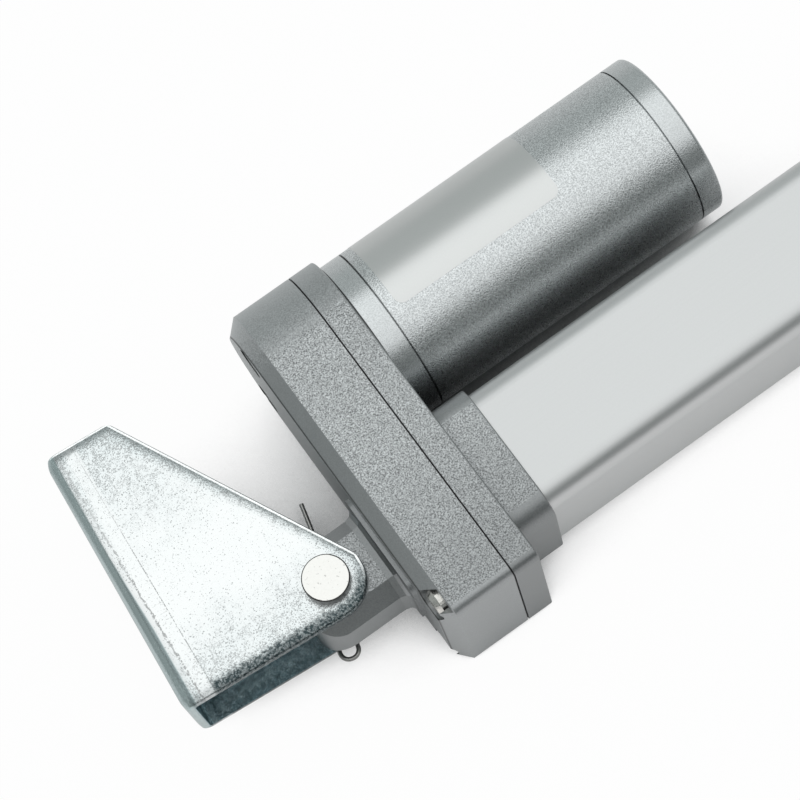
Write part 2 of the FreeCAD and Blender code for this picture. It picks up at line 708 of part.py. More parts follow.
# Screw and bearing
def screw_rear_bush():
    return sleeve_x(REAR_BUSH_R, SCREW_TAIL_R + RUN, BUSH_END - REAR_BUSH_L, BUSH_END)


def lead_screw():
    screw = rod_x(SCREW_TAIL_R, BUSH_END - REAR_BUSH_L + SLIDE, GEAR_X)
    screw = screw.fuse(rod_x(SCREW_SEAT_R, GEAR_X, BEARING_END))
    thread = rod_x(LEAD_SCREW_R, BEARING_END, SCREW_FRONT_X)
    thread = thread.makeChamfer(PIN_CHAMFER, edges_at_x(thread, SCREW_FRONT_X))
    return screw.fuse(thread)


def ball_groove():
    middle = (SEAT_X + BEARING_END) / 2
    return Part.makeTorus(ball_ring(), BALL_R + BALL_PLAY, V(middle, 0, 0), V(1, 0, 0))


def ball_ring():
    return (BEARING_R + SCREW_SEAT_R) / 2


def bearing_outer():
    return sleeve_x(BEARING_R, BEARING_R - BEARING_RIM, SEAT_X, BEARING_END).cut(ball_groove())


def bearing_inner():
    bore = SCREW_SEAT_R + PRESS
    return sleeve_x(SCREW_SEAT_R + BEARING_BORE_RIM, bore, SEAT_X, BEARING_END).cut(ball_groove())


def bearing_balls():
    middle = (SEAT_X + BEARING_END) / 2
    balls = []
    for index in range(BALLS):
        y, z = polar(ball_ring(), 2 * math.pi * index / BALLS)
        balls.append(Part.makeSphere(BALL_R, V(middle, y, z)))
    return Part.makeCompound(balls)


# Tube, nut and rod
def outer_tube():
    tube = bar_x(TUBE_X, TUBE_END, TUBE_HALF, TUBE_HALF, TUBE_CORNER)
    tube = tube.cut(bar_x(TUBE_X, TUBE_END, TUBE_BORE, TUBE_BORE, TUBE_INNER_CORNER))
    for side in (-1, 1):
        at = side * PORT_AT
        port = rod_x(PORT_R, TUBE_X, TUBE_END, at, at)
        corner = block(TUBE_X, TUBE_END, min(at, 2 * at), max(at, 2 * at), min(at, 2 * at), max(at, 2 * at))
        inner = bar_x(TUBE_X, TUBE_END, TUBE_HALF - TUBE_WALL / 2, TUBE_HALF - TUBE_WALL / 2, TUBE_CORNER)
        tube = tube.fuse(port.fuse(corner).common(inner))
    for side in (-1, 1):
        tube = tube.cut(rod_x(PORT_HOLE_R, TUBE_X, TUBE_END, side * PORT_AT, side * PORT_AT))
    return tube.removeSplitter()


def tube_gasket():
    gasket = bar_x(SOCKET_X, TUBE_X, TUBE_HALF - RUN, TUBE_HALF - RUN, TUBE_CORNER)
    return gasket.cut(bar_x(SOCKET_X, TUBE_X, TUBE_BORE, TUBE_BORE, TUBE_INNER_CORNER))


def nut_guide():
    half = TUBE_BORE - SLIDE
    end = GUIDE_X + GUIDE_L
    guide = bar_x(GUIDE_X, end, half, half, TUBE_INNER_CORNER)
    guide = guide.cut(rod_x(NUT_FLANGE_R + PRESS, GUIDE_X, GUIDE_X + NUT_FLANGE_T))
    guide = guide.cut(rod_x(ROD_BORE, GUIDE_X, ROD_X))
    guide = guide.cut(rod_x(ROD_R + PRESS, ROD_X, end))
    keep_out = PORT_R + SLIDE
    for side in (-1, 1):
        at = side * PORT_AT
        guide = guide.cut(rod_x(keep_out, GUIDE_X, end, at, at))
        low = min(at - side * keep_out, 2 * at)
        high = max(at - side * keep_out, 2 * at)
        guide = guide.cut(block(GUIDE_X, end, min(at, 2 * at), max(at, 2 * at), low, high))
        guide = guide.cut(block(GUIDE_X, end, low, high, min(at, 2 * at), max(at, 2 * at)))
    rail = TUBE_BORE - RAIL_T - 2 * SLIDE
    guide = guide.cut(block(GUIDE_X, end, SWITCH_FROM_AXIS - SLIDE, TUBE_HALF, -TUBE_HALF, -rail))
    return guide


def lead_nut():
    nut = rod_x(ROD_BORE - PRESS, GUIDE_X, GUIDE_X + NUT_L)
    nut = nut.fuse(rod_x(NUT_FLANGE_R, GUIDE_X, GUIDE_X + NUT_FLANGE_T))
    return nut.cut(rod_x(LEAD_SCREW_R + RUN, GUIDE_X, GUIDE_X + NUT_L))


def push_rod():
    return sleeve_x(ROD_R, ROD_BORE, ROD_X, ROD_FRONT_X)


def rod_end():
    tip = ROD_HOLE_X + ROD_END_FRONT
    head = rod_x(ROD_R, ROD_FRONT_X, tip)
    head = head.makeChamfer(ROD_END_CHAMFER, edges_at_x(head, tip))
    flat_x = ROD_HOLE_X - ROD_END_FRONT
    for side in (-1, 1):
        low = min(side * ROD_END_FLAT, side * ROD_R * 2)
        high = max(side * ROD_END_FLAT, side * ROD_R * 2)
        head = head.cut(block(flat_x, tip, -ROD_R, ROD_R, low, high))
    head = head.fuse(rod_x(ROD_BORE - PRESS, ROD_FRONT_X - ROD_END_SPIGOT, ROD_FRONT_X))
    return head.cut(rod_z(ROD_END_HOLE_R, -ROD_R, ROD_R, ROD_HOLE_X))


def front_cap():
    cap = collar_bar(TUBE_END - CAP_WRAP, CAP_X, 0)
    cap = cap.makeFillet(COLLAR_ROUND, edges_at_x(cap, CAP_X))
    cap = cap.cut(bar_x(TUBE_END - CAP_WRAP, TUBE_END, TUBE_HALF + PRESS, TUBE_HALF + PRESS, TUBE_CORNER))
    bush_r = ROD_R + RUN + BUSH_WALL + PRESS
    cap = cap.cut(rod_x(bush_r, TUBE_END, CAP_X))
    for side in (-1, 1):
        at = side * PORT_AT
        cap = cap.cut(rod_x(CAP_SCREW_R + RUN, TUBE_END, CAP_X, at, at))
        cap = cap.cut(rod_x(CAP_SCREW_HEAD_R + RUN, CAP_X - CAP_SCREW_HEAD_T, CAP_X, at, at))
    return cap


def cap_screws():
    screws = []
    for side in (-1, 1):
        at = side * PORT_AT
        head = rod_x(CAP_SCREW_HEAD_R, CAP_X - CAP_SCREW_HEAD_T, CAP_X, at, at)
        shank = rod_x(CAP_SCREW_R - PRESS, TUBE_END - CAP_SCREW_GRIP, CAP_X - CAP_SCREW_HEAD_T, at, at)
        screws.append(head.fuse(shank))
    return Part.makeCompound(screws)


def rod_bush():
    return sleeve_x(ROD_R + RUN + BUSH_WALL, ROD_R + RUN, TUBE_END - BUSH_BACK, CAP_X - WIPER_T)


def rod_wiper():
    return sleeve_x(ROD_R + RUN + BUSH_WALL, ROD_R + RUN, CAP_X - WIPER_T, CAP_X)


# Limit switches, in the tube corner that has no screw port
def switch_body(x0, x1, plunger_x0, plunger_x1):
    low = RAIL_T - TUBE_BORE + PRESS
    middle_y = SWITCH_FROM_AXIS + SWITCH_SIDE / 2
    body = block(x0, x1, SWITCH_FROM_AXIS, SWITCH_FROM_AXIS + SWITCH_SIDE, low, -SWITCH_FROM_AXIS)
    bore = rod_x(PLUNGER_R + PLUNGER_PLAY, plunger_x0, plunger_x1, middle_y, plunger_z())
    return body.cut(bore)


def plunger_z():
    return -SWITCH_FROM_AXIS - PLUNGER_R * 2


def rear_switch_face():
    return GUIDE_X - SLIDE - PLUNGER_OUT


def front_switch_face():
    return GUIDE_X + STROKE + GUIDE_L + SLIDE + PLUNGER_OUT


def limit_switches():
    rear = rear_switch_face()
    front = front_switch_face()
    deep = PLUNGER_IN + PLUNGER_OUT
    return Part.makeCompound([switch_body(rear - SWITCH_L, rear, rear - deep, rear),
                              switch_body(front, front + SWITCH_L, front, front + deep)])


def switch_rail():
    x0 = rear_switch_face() - SWITCH_L
    x1 = front_switch_face() + SWITCH_L
    floor = PRESS - TUBE_BORE
    return block(x0, x1, SWITCH_FROM_AXIS, TUBE_BORE - TUBE_INNER_CORNER, floor, floor + RAIL_T - PRESS)


def plunger(x0, x1):
    return rod_x(PLUNGER_R, x0, x1, SWITCH_FROM_AXIS + SWITCH_SIDE / 2, plunger_z())


def rear_plunger():
    return plunger(rear_switch_face() - PLUNGER_IN, rear_switch_face() + PLUNGER_OUT)


def front_plunger():
    return plunger(front_switch_face() - PLUNGER_OUT, front_switch_face() + PLUNGER_IN)


# Motor
def motor_screw_places():
    return [polar(MOTOR_SCREW_RING, sign * math.pi / 2, MOTOR_Y) for sign in (-1, 1)]


def motor_ring():
    ring = rod_x(MOTOR_R, PLATE_X, CAN_X - JOINT_GAP, MOTOR_Y)
    ring = ring.fuse(rod_x(REGISTER_R, PLATE_X - REGISTER_L, PLATE_X, MOTOR_Y))
    spigot = sleeve_x(CAN_BORE - PRESS, CAN_BORE - SPIGOT_WALL, CAN_X - JOINT_GAP, RING_GEAR_X, MOTOR_Y)
    ring = ring.fuse(spigot)
    ring = ring.cut(rod_x(OUTPUT_BUSH_R + PRESS, PLATE_X - REGISTER_L, CAN_X, MOTOR_Y))
    for y, z in motor_screw_places():
        ring = ring.cut(rod_x(MOTOR_SCREW_R + PRESS, PLATE_X, CAN_X, y, z))
    return ring.removeSplitter()


def motor_screws():
    screws = []
    for y, z in motor_screw_places():
        head = rod_x(MOTOR_SCREW_HEAD_R, CAVITY_END - MOTOR_SCREW_HEAD_T, CAVITY_END, y, z)
        screws.append(head.fuse(rod_x(MOTOR_SCREW_R, CAVITY_END, CAN_X - JOINT_GAP - SLIDE, y, z)))
    return Part.makeCompound(screws)


def output_bush():
    return sleeve_x(OUTPUT_BUSH_R, OUTPUT_R + RUN, PLATE_X - REGISTER_L, CAN_X - JOINT_GAP, MOTOR_Y)


def motor_can():
    return sleeve_x(MOTOR_R, CAN_BORE, CAN_X, CAN_END, MOTOR_Y)


def motor_plate():
    plate = rod_x(CAN_BORE - PRESS, PLATE_2_X, PLATE_2_X + MOTOR_PLATE_T, MOTOR_Y)
    return plate.cut(rod_x(MOTOR_BUSH_R + PRESS, PLATE_2_X, PLATE_2_X + MOTOR_PLATE_T, MOTOR_Y))


def motor_front_bush():
    return sleeve_x(MOTOR_BUSH_R, MOTOR_SHAFT_R + RUN, PLATE_2_X, PLATE_2_X + MOTOR_PLATE_T, MOTOR_Y)


def motor_end_cap():
    start = CAN_END + JOINT_GAP
    cap = rod_x(MOTOR_R, start, MOTOR_END, MOTOR_Y)
    cap = cap.makeFillet(CAP_ROUND, edges_at_x(cap, MOTOR_END))
    spigot = sleeve_x(CAN_BORE - PRESS, CAN_BORE - SPIGOT_WALL, CAN_END - SPIGOT_L, start, MOTOR_Y)
    boss = rod_x(MOTOR_BUSH_R + SPIGOT_WALL, CAN_END - SPIGOT_L, start, MOTOR_Y)
    cap = cap.fuse(spigot).fuse(boss)
    return cap.cut(rod_x(MOTOR_BUSH_R + PRESS, CAN_END - SPIGOT_L, CAN_END + CAP_L / 2, MOTOR_Y))


def motor_rear_bush():
    return sleeve_x(MOTOR_BUSH_R, MOTOR_SHAFT_R + RUN, CAN_END - SPIGOT_L, CAN_END + CAP_L / 2, MOTOR_Y)


def magnets():
    x0 = CORE_X - MAGNET_OVER
    x1 = CORE_END + MAGNET_OVER
    outer = CAN_BORE - PRESS
    pieces = []
    for start in (-MAGNET_SPAN / 2, 180 - MAGNET_SPAN / 2):
        section = Part.makeCylinder(outer, x1 - x0, V(x0, MOTOR_Y, 0), V(1, 0, 0), MAGNET_SPAN)
        section = section.cut(rod_x(outer - MAGNET_T, x0, x1, MOTOR_Y))
        pieces.append(turned_x(section, start, MOTOR_Y))
    return Part.makeCompound(pieces)


def core_r():
    return CAN_BORE - PRESS - MAGNET_T - AIR_GAP


def slot(x0, x1, width, inner, outer, index):
    bar = block(x0, x1, MOTOR_Y + inner, MOTOR_Y + outer, -width / 2, width / 2)
    return turned_x(bar, 360 * index / CORE_SLOTS, MOTOR_Y)


def armature_core():
    core = sleeve_x(core_r(), MOTOR_SHAFT_R + PRESS, CORE_X, CORE_END, MOTOR_Y)
    for index in range(CORE_SLOTS):
        core = core.cut(slot(CORE_X, CORE_END, SLOT_W, SLOT_FLOOR, CAN_BORE, index))
    return core


def windings():
    gap = WINDING_GAP
    x0 = CORE_X - gap
    x1 = CORE_END + gap
    coil = sleeve_x(END_TURN_R, SLOT_FLOOR, CORE_X - END_TURN_L, x0, MOTOR_Y)
    coil = coil.fuse(sleeve_x(END_TURN_R, SLOT_FLOOR, x1, CORE_END + END_TURN_L, MOTOR_Y))
    for index in range(CORE_SLOTS):
        strand = slot(x0, x1, SLOT_W - 2 * gap, SLOT_FLOOR + gap, END_TURN_R - gap, index)
        coil = coil.fuse(strand)
    return coil


def commutator():
    x1 = COMMUTATOR_X + COMMUTATOR_L
    return sleeve_x(COMMUTATOR_R, MOTOR_SHAFT_R + PRESS, COMMUTATOR_X, x1, MOTOR_Y)


def motor_shaft():
    return rod_x(MOTOR_SHAFT_R, PLANET_X, CAN_END + CAP_L / 2 - SLIDE, MOTOR_Y)


def brush_box(grow, reach):
    # Room for a brush on each side of the commutator, along Z
    half_x = BRUSH_W / 2 + grow
    half_y = BRUSH_T / 2 + grow
    return block(BRUSH_X - half_x, BRUSH_X + half_x, MOTOR_Y - half_y, MOTOR_Y + half_y, -reach, reach)


def brush_holder():
    x0 = BRUSH_X - BRUSH_HOLDER_T / 2 - SLIDE
    x1 = BRUSH_X + BRUSH_HOLDER_T / 2 + SLIDE
    holder = sleeve_x(CAN_BORE - PRESS, COMMUTATOR_R + BRUSH_L / 3, x0, x1, MOTOR_Y)
    reach = COMMUTATOR_R + BRUSH_L + SLIDE
    return holder.cut(brush_box(PRESS, reach))


def brushes():
    reach = COMMUTATOR_R + BRUSH_L
    room = rod_x(COMMUTATOR_R + RUN, BRUSH_X - BRUSH_W, BRUSH_X + BRUSH_W, MOTOR_Y)
    return Part.makeCompound(brush_box(0, reach).cut(room).Solids)


PIECES = {
    "rear_bracket": rear_bracket,
    "clevis_pin": clevis_pin,
    "hairpin_clip": hairpin_clip,
    "rear_cover": rear_cover,
    "cable_grommet": cable_grommet,
    "housing_gasket": housing_gasket,
    "housing_screws": housing_screws,
    "gear_housing": gear_housing,
    "idler_axle": idler_axle,
    "idler_gear": idler_gear,
    "screw_rear_bush": screw_rear_bush,
    "screw_gear": screw_gear,
    "lead_screw": lead_screw,
    "bearing_outer": bearing_outer,
    "bearing_inner": bearing_inner,
    "bearing_balls": bearing_balls,
    "outer_tube": outer_tube,
    "tube_gasket": tube_gasket,
    "nut_guide": nut_guide,
    "lead_nut": lead_nut,
    "push_rod": push_rod,
    "rod_end": rod_end,
    "front_cap": front_cap,
    "cap_screws": cap_screws,
    "rod_bush": rod_bush,
    "rod_wiper": rod_wiper,
    "limit_switches": limit_switches,
    "switch_rail": switch_rail,
    "rear_plunger": rear_plunger,
    "front_plunger": front_plunger,
    "motor_ring": motor_ring,
    "motor_screws": motor_screws,
    "output_bush": output_bush,
    "motor_can": motor_can,
    "motor_plate": motor_plate,
    "motor_front_bush": motor_front_bush,
    "motor_end_cap": motor_end_cap,
    "motor_rear_bush": motor_rear_bush,
    "ring_gear": ring_gear,
    "planet_carrier": planet_carrier,
    "planet_pins": planet_pins,
    "drive_pinion": drive_pinion,
    "sun_gear": sun_gear,
    "motor_shaft": motor_shaft,
    "armature_core": armature_core,
    "windings": windings,
    "commutator": commutator,
    "magnets": magnets,
    "brush_holder": brush_holder,
    "brushes": brushes,
}


def save(name, shape):
    if name != "rear_bracket":
        shape.rotate(V(PIN_X, 0, 0), V(0, 0, 1), SWING)
    shape.exportStep("parts/" + name + ".step")


def main():
    os.makedirs("parts", exist_ok=True)
    for name, make in PIECES.items():
        save(name, make())
    for index in range(PLANETS):
        save("planet_gear_" + str(index + 1), planet_gear(index))


main()
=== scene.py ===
import json
import math

import bmesh
import bpy
from bpy.props import FloatProperty, FloatVectorProperty, IntProperty, PointerProperty
from mathutils import Euler, Matrix, Vector


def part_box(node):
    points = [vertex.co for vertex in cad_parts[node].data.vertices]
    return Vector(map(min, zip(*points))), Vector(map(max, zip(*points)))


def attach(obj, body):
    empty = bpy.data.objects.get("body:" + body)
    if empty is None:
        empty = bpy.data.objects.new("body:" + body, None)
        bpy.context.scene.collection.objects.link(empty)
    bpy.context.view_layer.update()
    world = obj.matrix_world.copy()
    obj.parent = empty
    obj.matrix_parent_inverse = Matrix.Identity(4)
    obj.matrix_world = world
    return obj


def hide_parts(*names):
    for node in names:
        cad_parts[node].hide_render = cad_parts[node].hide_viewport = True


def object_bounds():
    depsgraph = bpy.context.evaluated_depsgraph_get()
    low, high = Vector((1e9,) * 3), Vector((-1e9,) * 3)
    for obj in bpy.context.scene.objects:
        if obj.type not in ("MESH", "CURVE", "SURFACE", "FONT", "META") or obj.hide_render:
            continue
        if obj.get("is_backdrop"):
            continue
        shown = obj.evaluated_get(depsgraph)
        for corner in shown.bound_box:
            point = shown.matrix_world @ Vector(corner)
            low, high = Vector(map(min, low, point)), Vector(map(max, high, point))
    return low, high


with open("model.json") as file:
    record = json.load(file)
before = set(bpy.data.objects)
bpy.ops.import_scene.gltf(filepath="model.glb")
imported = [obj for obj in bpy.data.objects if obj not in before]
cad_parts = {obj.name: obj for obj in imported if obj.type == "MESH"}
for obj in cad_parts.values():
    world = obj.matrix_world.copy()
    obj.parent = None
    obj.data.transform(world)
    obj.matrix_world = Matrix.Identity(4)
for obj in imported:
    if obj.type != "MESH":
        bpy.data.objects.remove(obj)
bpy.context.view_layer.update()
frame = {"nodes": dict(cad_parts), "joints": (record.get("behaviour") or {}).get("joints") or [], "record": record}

bl_info = {
    "name": "Linear Actuator Looks",
    "version": (1, 0, 0),
    "blender": (4, 5, 0),
    "location": "View3D > Sidebar > Actuator",
    "description": "Finishes and fine pieces of an electric linear actuator, on its CAD frame",
    "category": "Object",
}

NODES = frame["nodes"]
JOINTS = {joint["name"]: joint for joint in frame["joints"]}
SLOT_OF = {part["node"]: part["material_slot"] for part in frame["record"]["subparts"]}

# The actuator's own axes: along the stroke, across from the rod to the motor, and up the pivot pin
UP = Vector((0.0, 0.0, 1.0))
PIN = Vector(JOINTS["pivot"]["pos_m"])
ALONG = Vector(JOINTS["rod_slide"]["axis"])
ACROSS = UP.cross(ALONG)
ACTUATOR = Matrix((
    (ALONG.x, ACROSS.x, UP.x, PIN.x),
    (ALONG.y, ACROSS.y, UP.y, PIN.y),
    (ALONG.z, ACROSS.z, UP.z, PIN.z),
    (0.0, 0.0, 0.0, 1.0),
))
TO_ACTUATOR = ACTUATOR.inverted()
SWING = math.atan2(ALONG.y, ALONG.x)


def corners(points):
    """Lowest and highest corner of a list of points."""
    return Vector(map(min, zip(*points))), Vector(map(max, zip(*points)))


def span(node):
    """Lowest and highest corner of a CAD node in the actuator's own axes."""
    return corners([TO_ACTUATOR @ vertex.co for vertex in NODES[node].data.vertices])


# Places on the motor and the housing, in the actuator's own axes
CAN_LOW, CAN_HIGH = span("motor_can")
CAN_RADIUS = (CAN_HIGH.z - CAN_LOW.z) / 2
CAN_AXIS = (CAN_HIGH.y + CAN_LOW.y) / 2
RING_SPIGOT = 0.0022
RING_SEAT = span("motor_ring")[0].x + RING_SPIGOT
SPLIT = span("housing_gasket")[0].x
COVER_DEPTH = 0.017
REAR = SPLIT - COVER_DEPTH
PAD_LEVEL = 0.0115

# The bracket: its box, the lean of the ear's long edge, the inner face and middle of its sheet,
# and where the pressed band beside the bend fades out
BRACKET_LOW, BRACKET_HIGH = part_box("rear_bracket")
EAR_SLANT = math.radians(30.5)
EAR_INNER = 0.0089
EAR_MIDDLE = 0.0100
BAND_END = (0.0070, 0.0076)

# Facets of a round piece, and the distances below which two places count as one
FACETS = 32
MERGE = 1e-6
SAME_PLACE = 1e-5
SAME_RADIUS = 2e-5


class FinishSettings(bpy.types.PropertyGroup):
    zinc: FloatVectorProperty(
        name="Zinc plate", description="Bright plating of the folded bracket",
        subtype="COLOR", default=(0.775, 0.785, 0.785), min=0.0, max=1.0)
    pin: FloatVectorProperty(
        name="Pin", description="Plated steel of the pivot pin and its clip",
        subtype="COLOR", default=(0.79, 0.78, 0.755), min=0.0, max=1.0)
    cast: FloatVectorProperty(
        name="Cast housing", description="Silver grey paint of the die-cast pieces",
        subtype="COLOR", default=(0.312, 0.322, 0.326), min=0.0, max=1.0)
    barrel: FloatVectorProperty(
        name="Motor barrel", description="Satin silver paint of the motor",
        subtype="COLOR", default=(0.575, 0.594, 0.60), min=0.0, max=1.0)
    tube: FloatVectorProperty(
        name="Square tube", description="Clear anodised aluminium of the outer tube",
        subtype="COLOR", default=(0.632, 0.637, 0.638), min=0.0, max=1.0)
    label: FloatVectorProperty(
        name="Label foil", description="Bare silver foil of the motor's label",
        subtype="COLOR", default=(0.645, 0.65, 0.645), min=0.0, max=1.0)
    grain: FloatProperty(
        name="Cast grain", description="Width of one grain of the cast texture",
        unit="LENGTH", default=0.00031, min=0.0001)


class LabelSettings(bpy.types.PropertyGroup):
    start: FloatProperty(
        name="Start", description="Bare barrel between the motor ring's joint and the label",
        unit="LENGTH", default=0.0024)
    length: FloatProperty(
        name="Length", description="Label's length along the barrel", unit="LENGTH", default=0.041)
    width: FloatProperty(
        name="Width", description="Label's width round the barrel", unit="LENGTH", default=0.040)
    lower_edge: FloatProperty(
        name="Lower edge", description="Turn of the label's lower edge from straight up, towards the tube",
        subtype="ANGLE", default=math.radians(11.7))
    corner: FloatProperty(
        name="Corner", description="Radius of the label's corners", unit="LENGTH", default=0.002)
    thickness: FloatProperty(
        name="Thickness", description="Thickness of the foil", unit="LENGTH", default=0.00006)


class ScrewSettings(bpy.types.PropertyGroup):
    recess_width: FloatProperty(
        name="Recess width", description="Width of one slot of the cross recess, as a share of the head",
        default=0.24, min=0.05, max=0.5)
    recess_length: FloatProperty(
        name="Recess length", description="Length of the cross recess, as a share of the head",
        default=1.1, min=0.3, max=1.6)
    crown: FloatProperty(
        name="Crown", description="Flat top of the head, as a share of its radius",
        default=0.72, min=0.3, max=1.0)


class ThreadSettings(bpy.types.PropertyGroup):
    lead: FloatProperty(
        name="Lead", description="Travel of the nut for one turn of the screw", unit="LENGTH", default=0.006)
    starts: IntProperty(name="Starts", description="Number of thread starts", default=2, min=1, max=4)
    depth: FloatProperty(
        name="Depth", description="Depth of the thread", unit="LENGTH", default=0.001)


class StageSettings(bpy.types.PropertyGroup):
    camera_place: FloatVectorProperty(
        name="Camera place", description="Where the camera stands", subtype="TRANSLATION",
        default=(0.034006, -0.174064, 0.592374))
    camera_turn: FloatVectorProperty(
        name="Camera turn", description="How the camera is turned", subtype="EULER",
        default=(math.radians(18.023), math.radians(6.776), math.radians(-30.101)))
    lens: FloatProperty(name="Lens", description="Focal length in millimetres", default=135.0)
    softbox: FloatVectorProperty(
        name="Softbox", description="Length and width of the light over the object", size=2,
        unit="LENGTH", default=(1.5, 1.6))
    softbox_height: FloatProperty(
        name="Softbox height", description="Height of the light over the floor", unit="LENGTH", default=0.92)
    softbox_shift: FloatProperty(
        name="Softbox shift", description="Shift of the light from the object's middle, along Y",
        unit="LENGTH", default=-0.04)
    softbox_power: FloatProperty(
        name="Softbox power", description="Power of the light", unit="POWER", default=6.35)
    room: FloatVectorProperty(
        name="Room light", description="Tint of the room light",
        subtype="COLOR", default=(0.935, 1.005, 0.995), min=0.0)
    light_side: FloatProperty(
        name="Light side", description="Room light from the motor's side", default=0.55)
    dark_side: FloatProperty(
        name="Dark side", description="Room light from the tube's side", default=0.22)
    floor: FloatProperty(name="Floor", description="Side of the floor", unit="LENGTH", default=6.0)


# Node helpers for shaders and geometry
def add_node(tree, kind, **values):
    made = tree.nodes.new(kind)
    for name, value in values.items():
        setattr(made, name, value)
    return made


def wire(tree, *pairs):
    for source, target in pairs:
        tree.links.new(source, target)


def math_node(tree, operation, first, second=0.0):
    made = add_node(tree, "ShaderNodeMath", operation=operation)
    for socket, value in zip(made.inputs, (first, second)):
        if isinstance(value, (int, float)):
            socket.default_value = value
        else:
            tree.links.new(value, socket)
    return made.outputs["Value"]


def chain(operation):
    """A function that joins two or more values, in turn, by one operation."""
    def joined(tree, first, *others):
        for other in others:
            first = math_node(tree, operation, first, other)
        return first
    return joined


times, plus, minus = chain("MULTIPLY"), chain("ADD"), chain("SUBTRACT")
most, least = chain("MAXIMUM"), chain("MINIMUM")


def away(tree, value, place):
    """Distance of a value from a place, to either side."""
    return math_node(tree, "ABSOLUTE", minus(tree, value, place))


def stretch(tree, value, low, high, to_low=0.0, to_high=1.0):
    made = add_node(tree, "ShaderNodeMapRange", clamp=True)
    tree.links.new(value, made.inputs["Value"])
    for name, amount in (("From Min", low), ("From Max", high), ("To Min", to_low), ("To Max", to_high)):
        made.inputs[name].default_value = amount
    return made.outputs["Result"]


def between(tree, value, low, low_end, high, high_end):
    """1 between two soft edges of a value, and 0 outside them."""
    return times(tree, stretch(tree, value, low, low_end), stretch(tree, value, high, high_end, 1.0, 0.0))


def mix_colours(tree, factor, first, second):
    made = add_node(tree, "ShaderNodeMix", data_type="RGBA")
    tree.links.new(factor, made.inputs["Factor"])
    for name, colour in (("A", first), ("B", second)):
        socket = [s for s in made.inputs if s.name == name and s.type == "RGBA"][0]
        if isinstance(colour, bpy.types.NodeSocket):
            tree.links.new(colour, socket)
        else:
            socket.default_value = (*colour, 1.0)
    return [s for s in made.outputs if s.type == "RGBA"][0]


def shade(colour, amount):
    return tuple(min(1.0, channel * amount) for channel in colour)


def axes(tree, kind="Object"):
    """Place on the piece, or another of its coordinates, as a vector and as its three parts."""
    place = add_node(tree, "ShaderNodeTexCoord").outputs[kind]
    parts = add_node(tree, "ShaderNodeSeparateXYZ")
    wire(tree, (place, parts.inputs["Vector"]))
    return place, *parts.outputs


# Effects that several finishes share
def new_group(name, **inputs):
    """A shader group that puts out one mask."""
    group = bpy.data.node_groups.new(name, "ShaderNodeTree")
    for label, value in inputs.items():
        group.interface.new_socket(label, in_out="INPUT", socket_type="NodeSocketFloat").default_value = value
    group.interface.new_socket("Mask", in_out="OUTPUT", socket_type="NodeSocketFloat")
    return group, group.nodes.new("NodeGroupInput"), group.nodes.new("NodeGroupOutput")


def grain_group(name):
    """Even noise of a set size, sharpened to a mask."""
    group, start, end = new_group(name, Size=0.0005, Sharpness=2.0)
    place = add_node(group, "ShaderNodeTexCoord")
    turn = add_node(group, "ShaderNodeMapping")
    turn.inputs["Rotation"].default_value = (0.6, 0.4, 0.2)
    noise = add_node(group, "ShaderNodeTexNoise")
    noise.inputs["Detail"].default_value = 2.0
    wire(group, (place.outputs["Object"], turn.inputs["Vector"]),
         (turn.outputs["Vector"], noise.inputs["Vector"]),
         (math_node(group, "DIVIDE", 1.0, start.outputs["Size"]), noise.inputs["Scale"]))
    wide = times(group, minus(group, noise.outputs["Fac"], 0.5), start.outputs["Sharpness"])
    wire(group, (stretch(group, plus(group, wide, 0.5), 0.0, 1.0), end.inputs["Mask"]))
    return group


def flat_side_group(name):
    """Mask of the faces that lie square to the pivot pin."""
    group, start, end = new_group(name, Edge=0.97)
    upright = math_node(group, "ABSOLUTE", axes(group, "Normal")[3])
    over = minus(group, upright, start.outputs["Edge"])
    wire(group, (stretch(group, over, 0.0, 0.02), end.inputs["Mask"]))
    return group


def lines_group(name):
    """Noise drawn out to lines along X, after a turn about Z."""
    group, start, end = new_group(name, Scale=1800.0, Length=10.0, Turn=0.0, Detail=2.0)
    place = add_node(group, "ShaderNodeTexCoord")
    turn = add_node(group, "ShaderNodeCombineXYZ")
    size = add_node(group, "ShaderNodeCombineXYZ")
    for axis in "YZ":
        size.inputs[axis].default_value = 1.0
    drawn = add_node(group, "ShaderNodeMapping", vector_type="TEXTURE")
    noise = add_node(group, "ShaderNodeTexNoise")
    wire(group, (start.outputs["Turn"], turn.inputs["Z"]), (turn.outputs["Vector"], drawn.inputs["Rotation"]),
         (start.outputs["Length"], size.inputs["X"]), (size.outputs["Vector"], drawn.inputs["Scale"]),
         (place.outputs["Object"], drawn.inputs["Vector"]), (drawn.outputs["Vector"], noise.inputs["Vector"]),
         (start.outputs["Scale"], noise.inputs["Scale"]), (start.outputs["Detail"], noise.inputs["Detail"]),
         (noise.outputs["Fac"], end.inputs["Mask"]))
    return group


def use_group(tree, name, build, **values):
    """Places a shared effect, built at its first use, with its own values."""
    group = bpy.data.node_groups.get(name) or build(name)
    made = add_node(tree, "ShaderNodeGroup", node_tree=group)
    for label, value in values.items():
        made.inputs[label].default_value = value
    return made.outputs["Mask"]


def grain(tree, size, sharpness=2.0):
    return use_group(tree, "surface grain", grain_group, Size=size, Sharpness=sharpness)


def sway(tree, size, sharpness, amount):
    """Grain to either side of zero."""
    return times(tree, minus(tree, grain(tree, size, sharpness), 0.5), amount)


def flat_sides(tree, edge):
    return use_group(tree, "flat sides", flat_side_group, Edge=edge)


def new_finish(name, metallic, roughness):
    material = bpy.data.materials.new(name)
    material.use_nodes = True
    tree = material.node_tree
    shader = tree.nodes["Principled BSDF"]
    shader.inputs["Metallic"].default_value = metallic
    shader.inputs["Roughness"].default_value = roughness
    return material, tree, shader


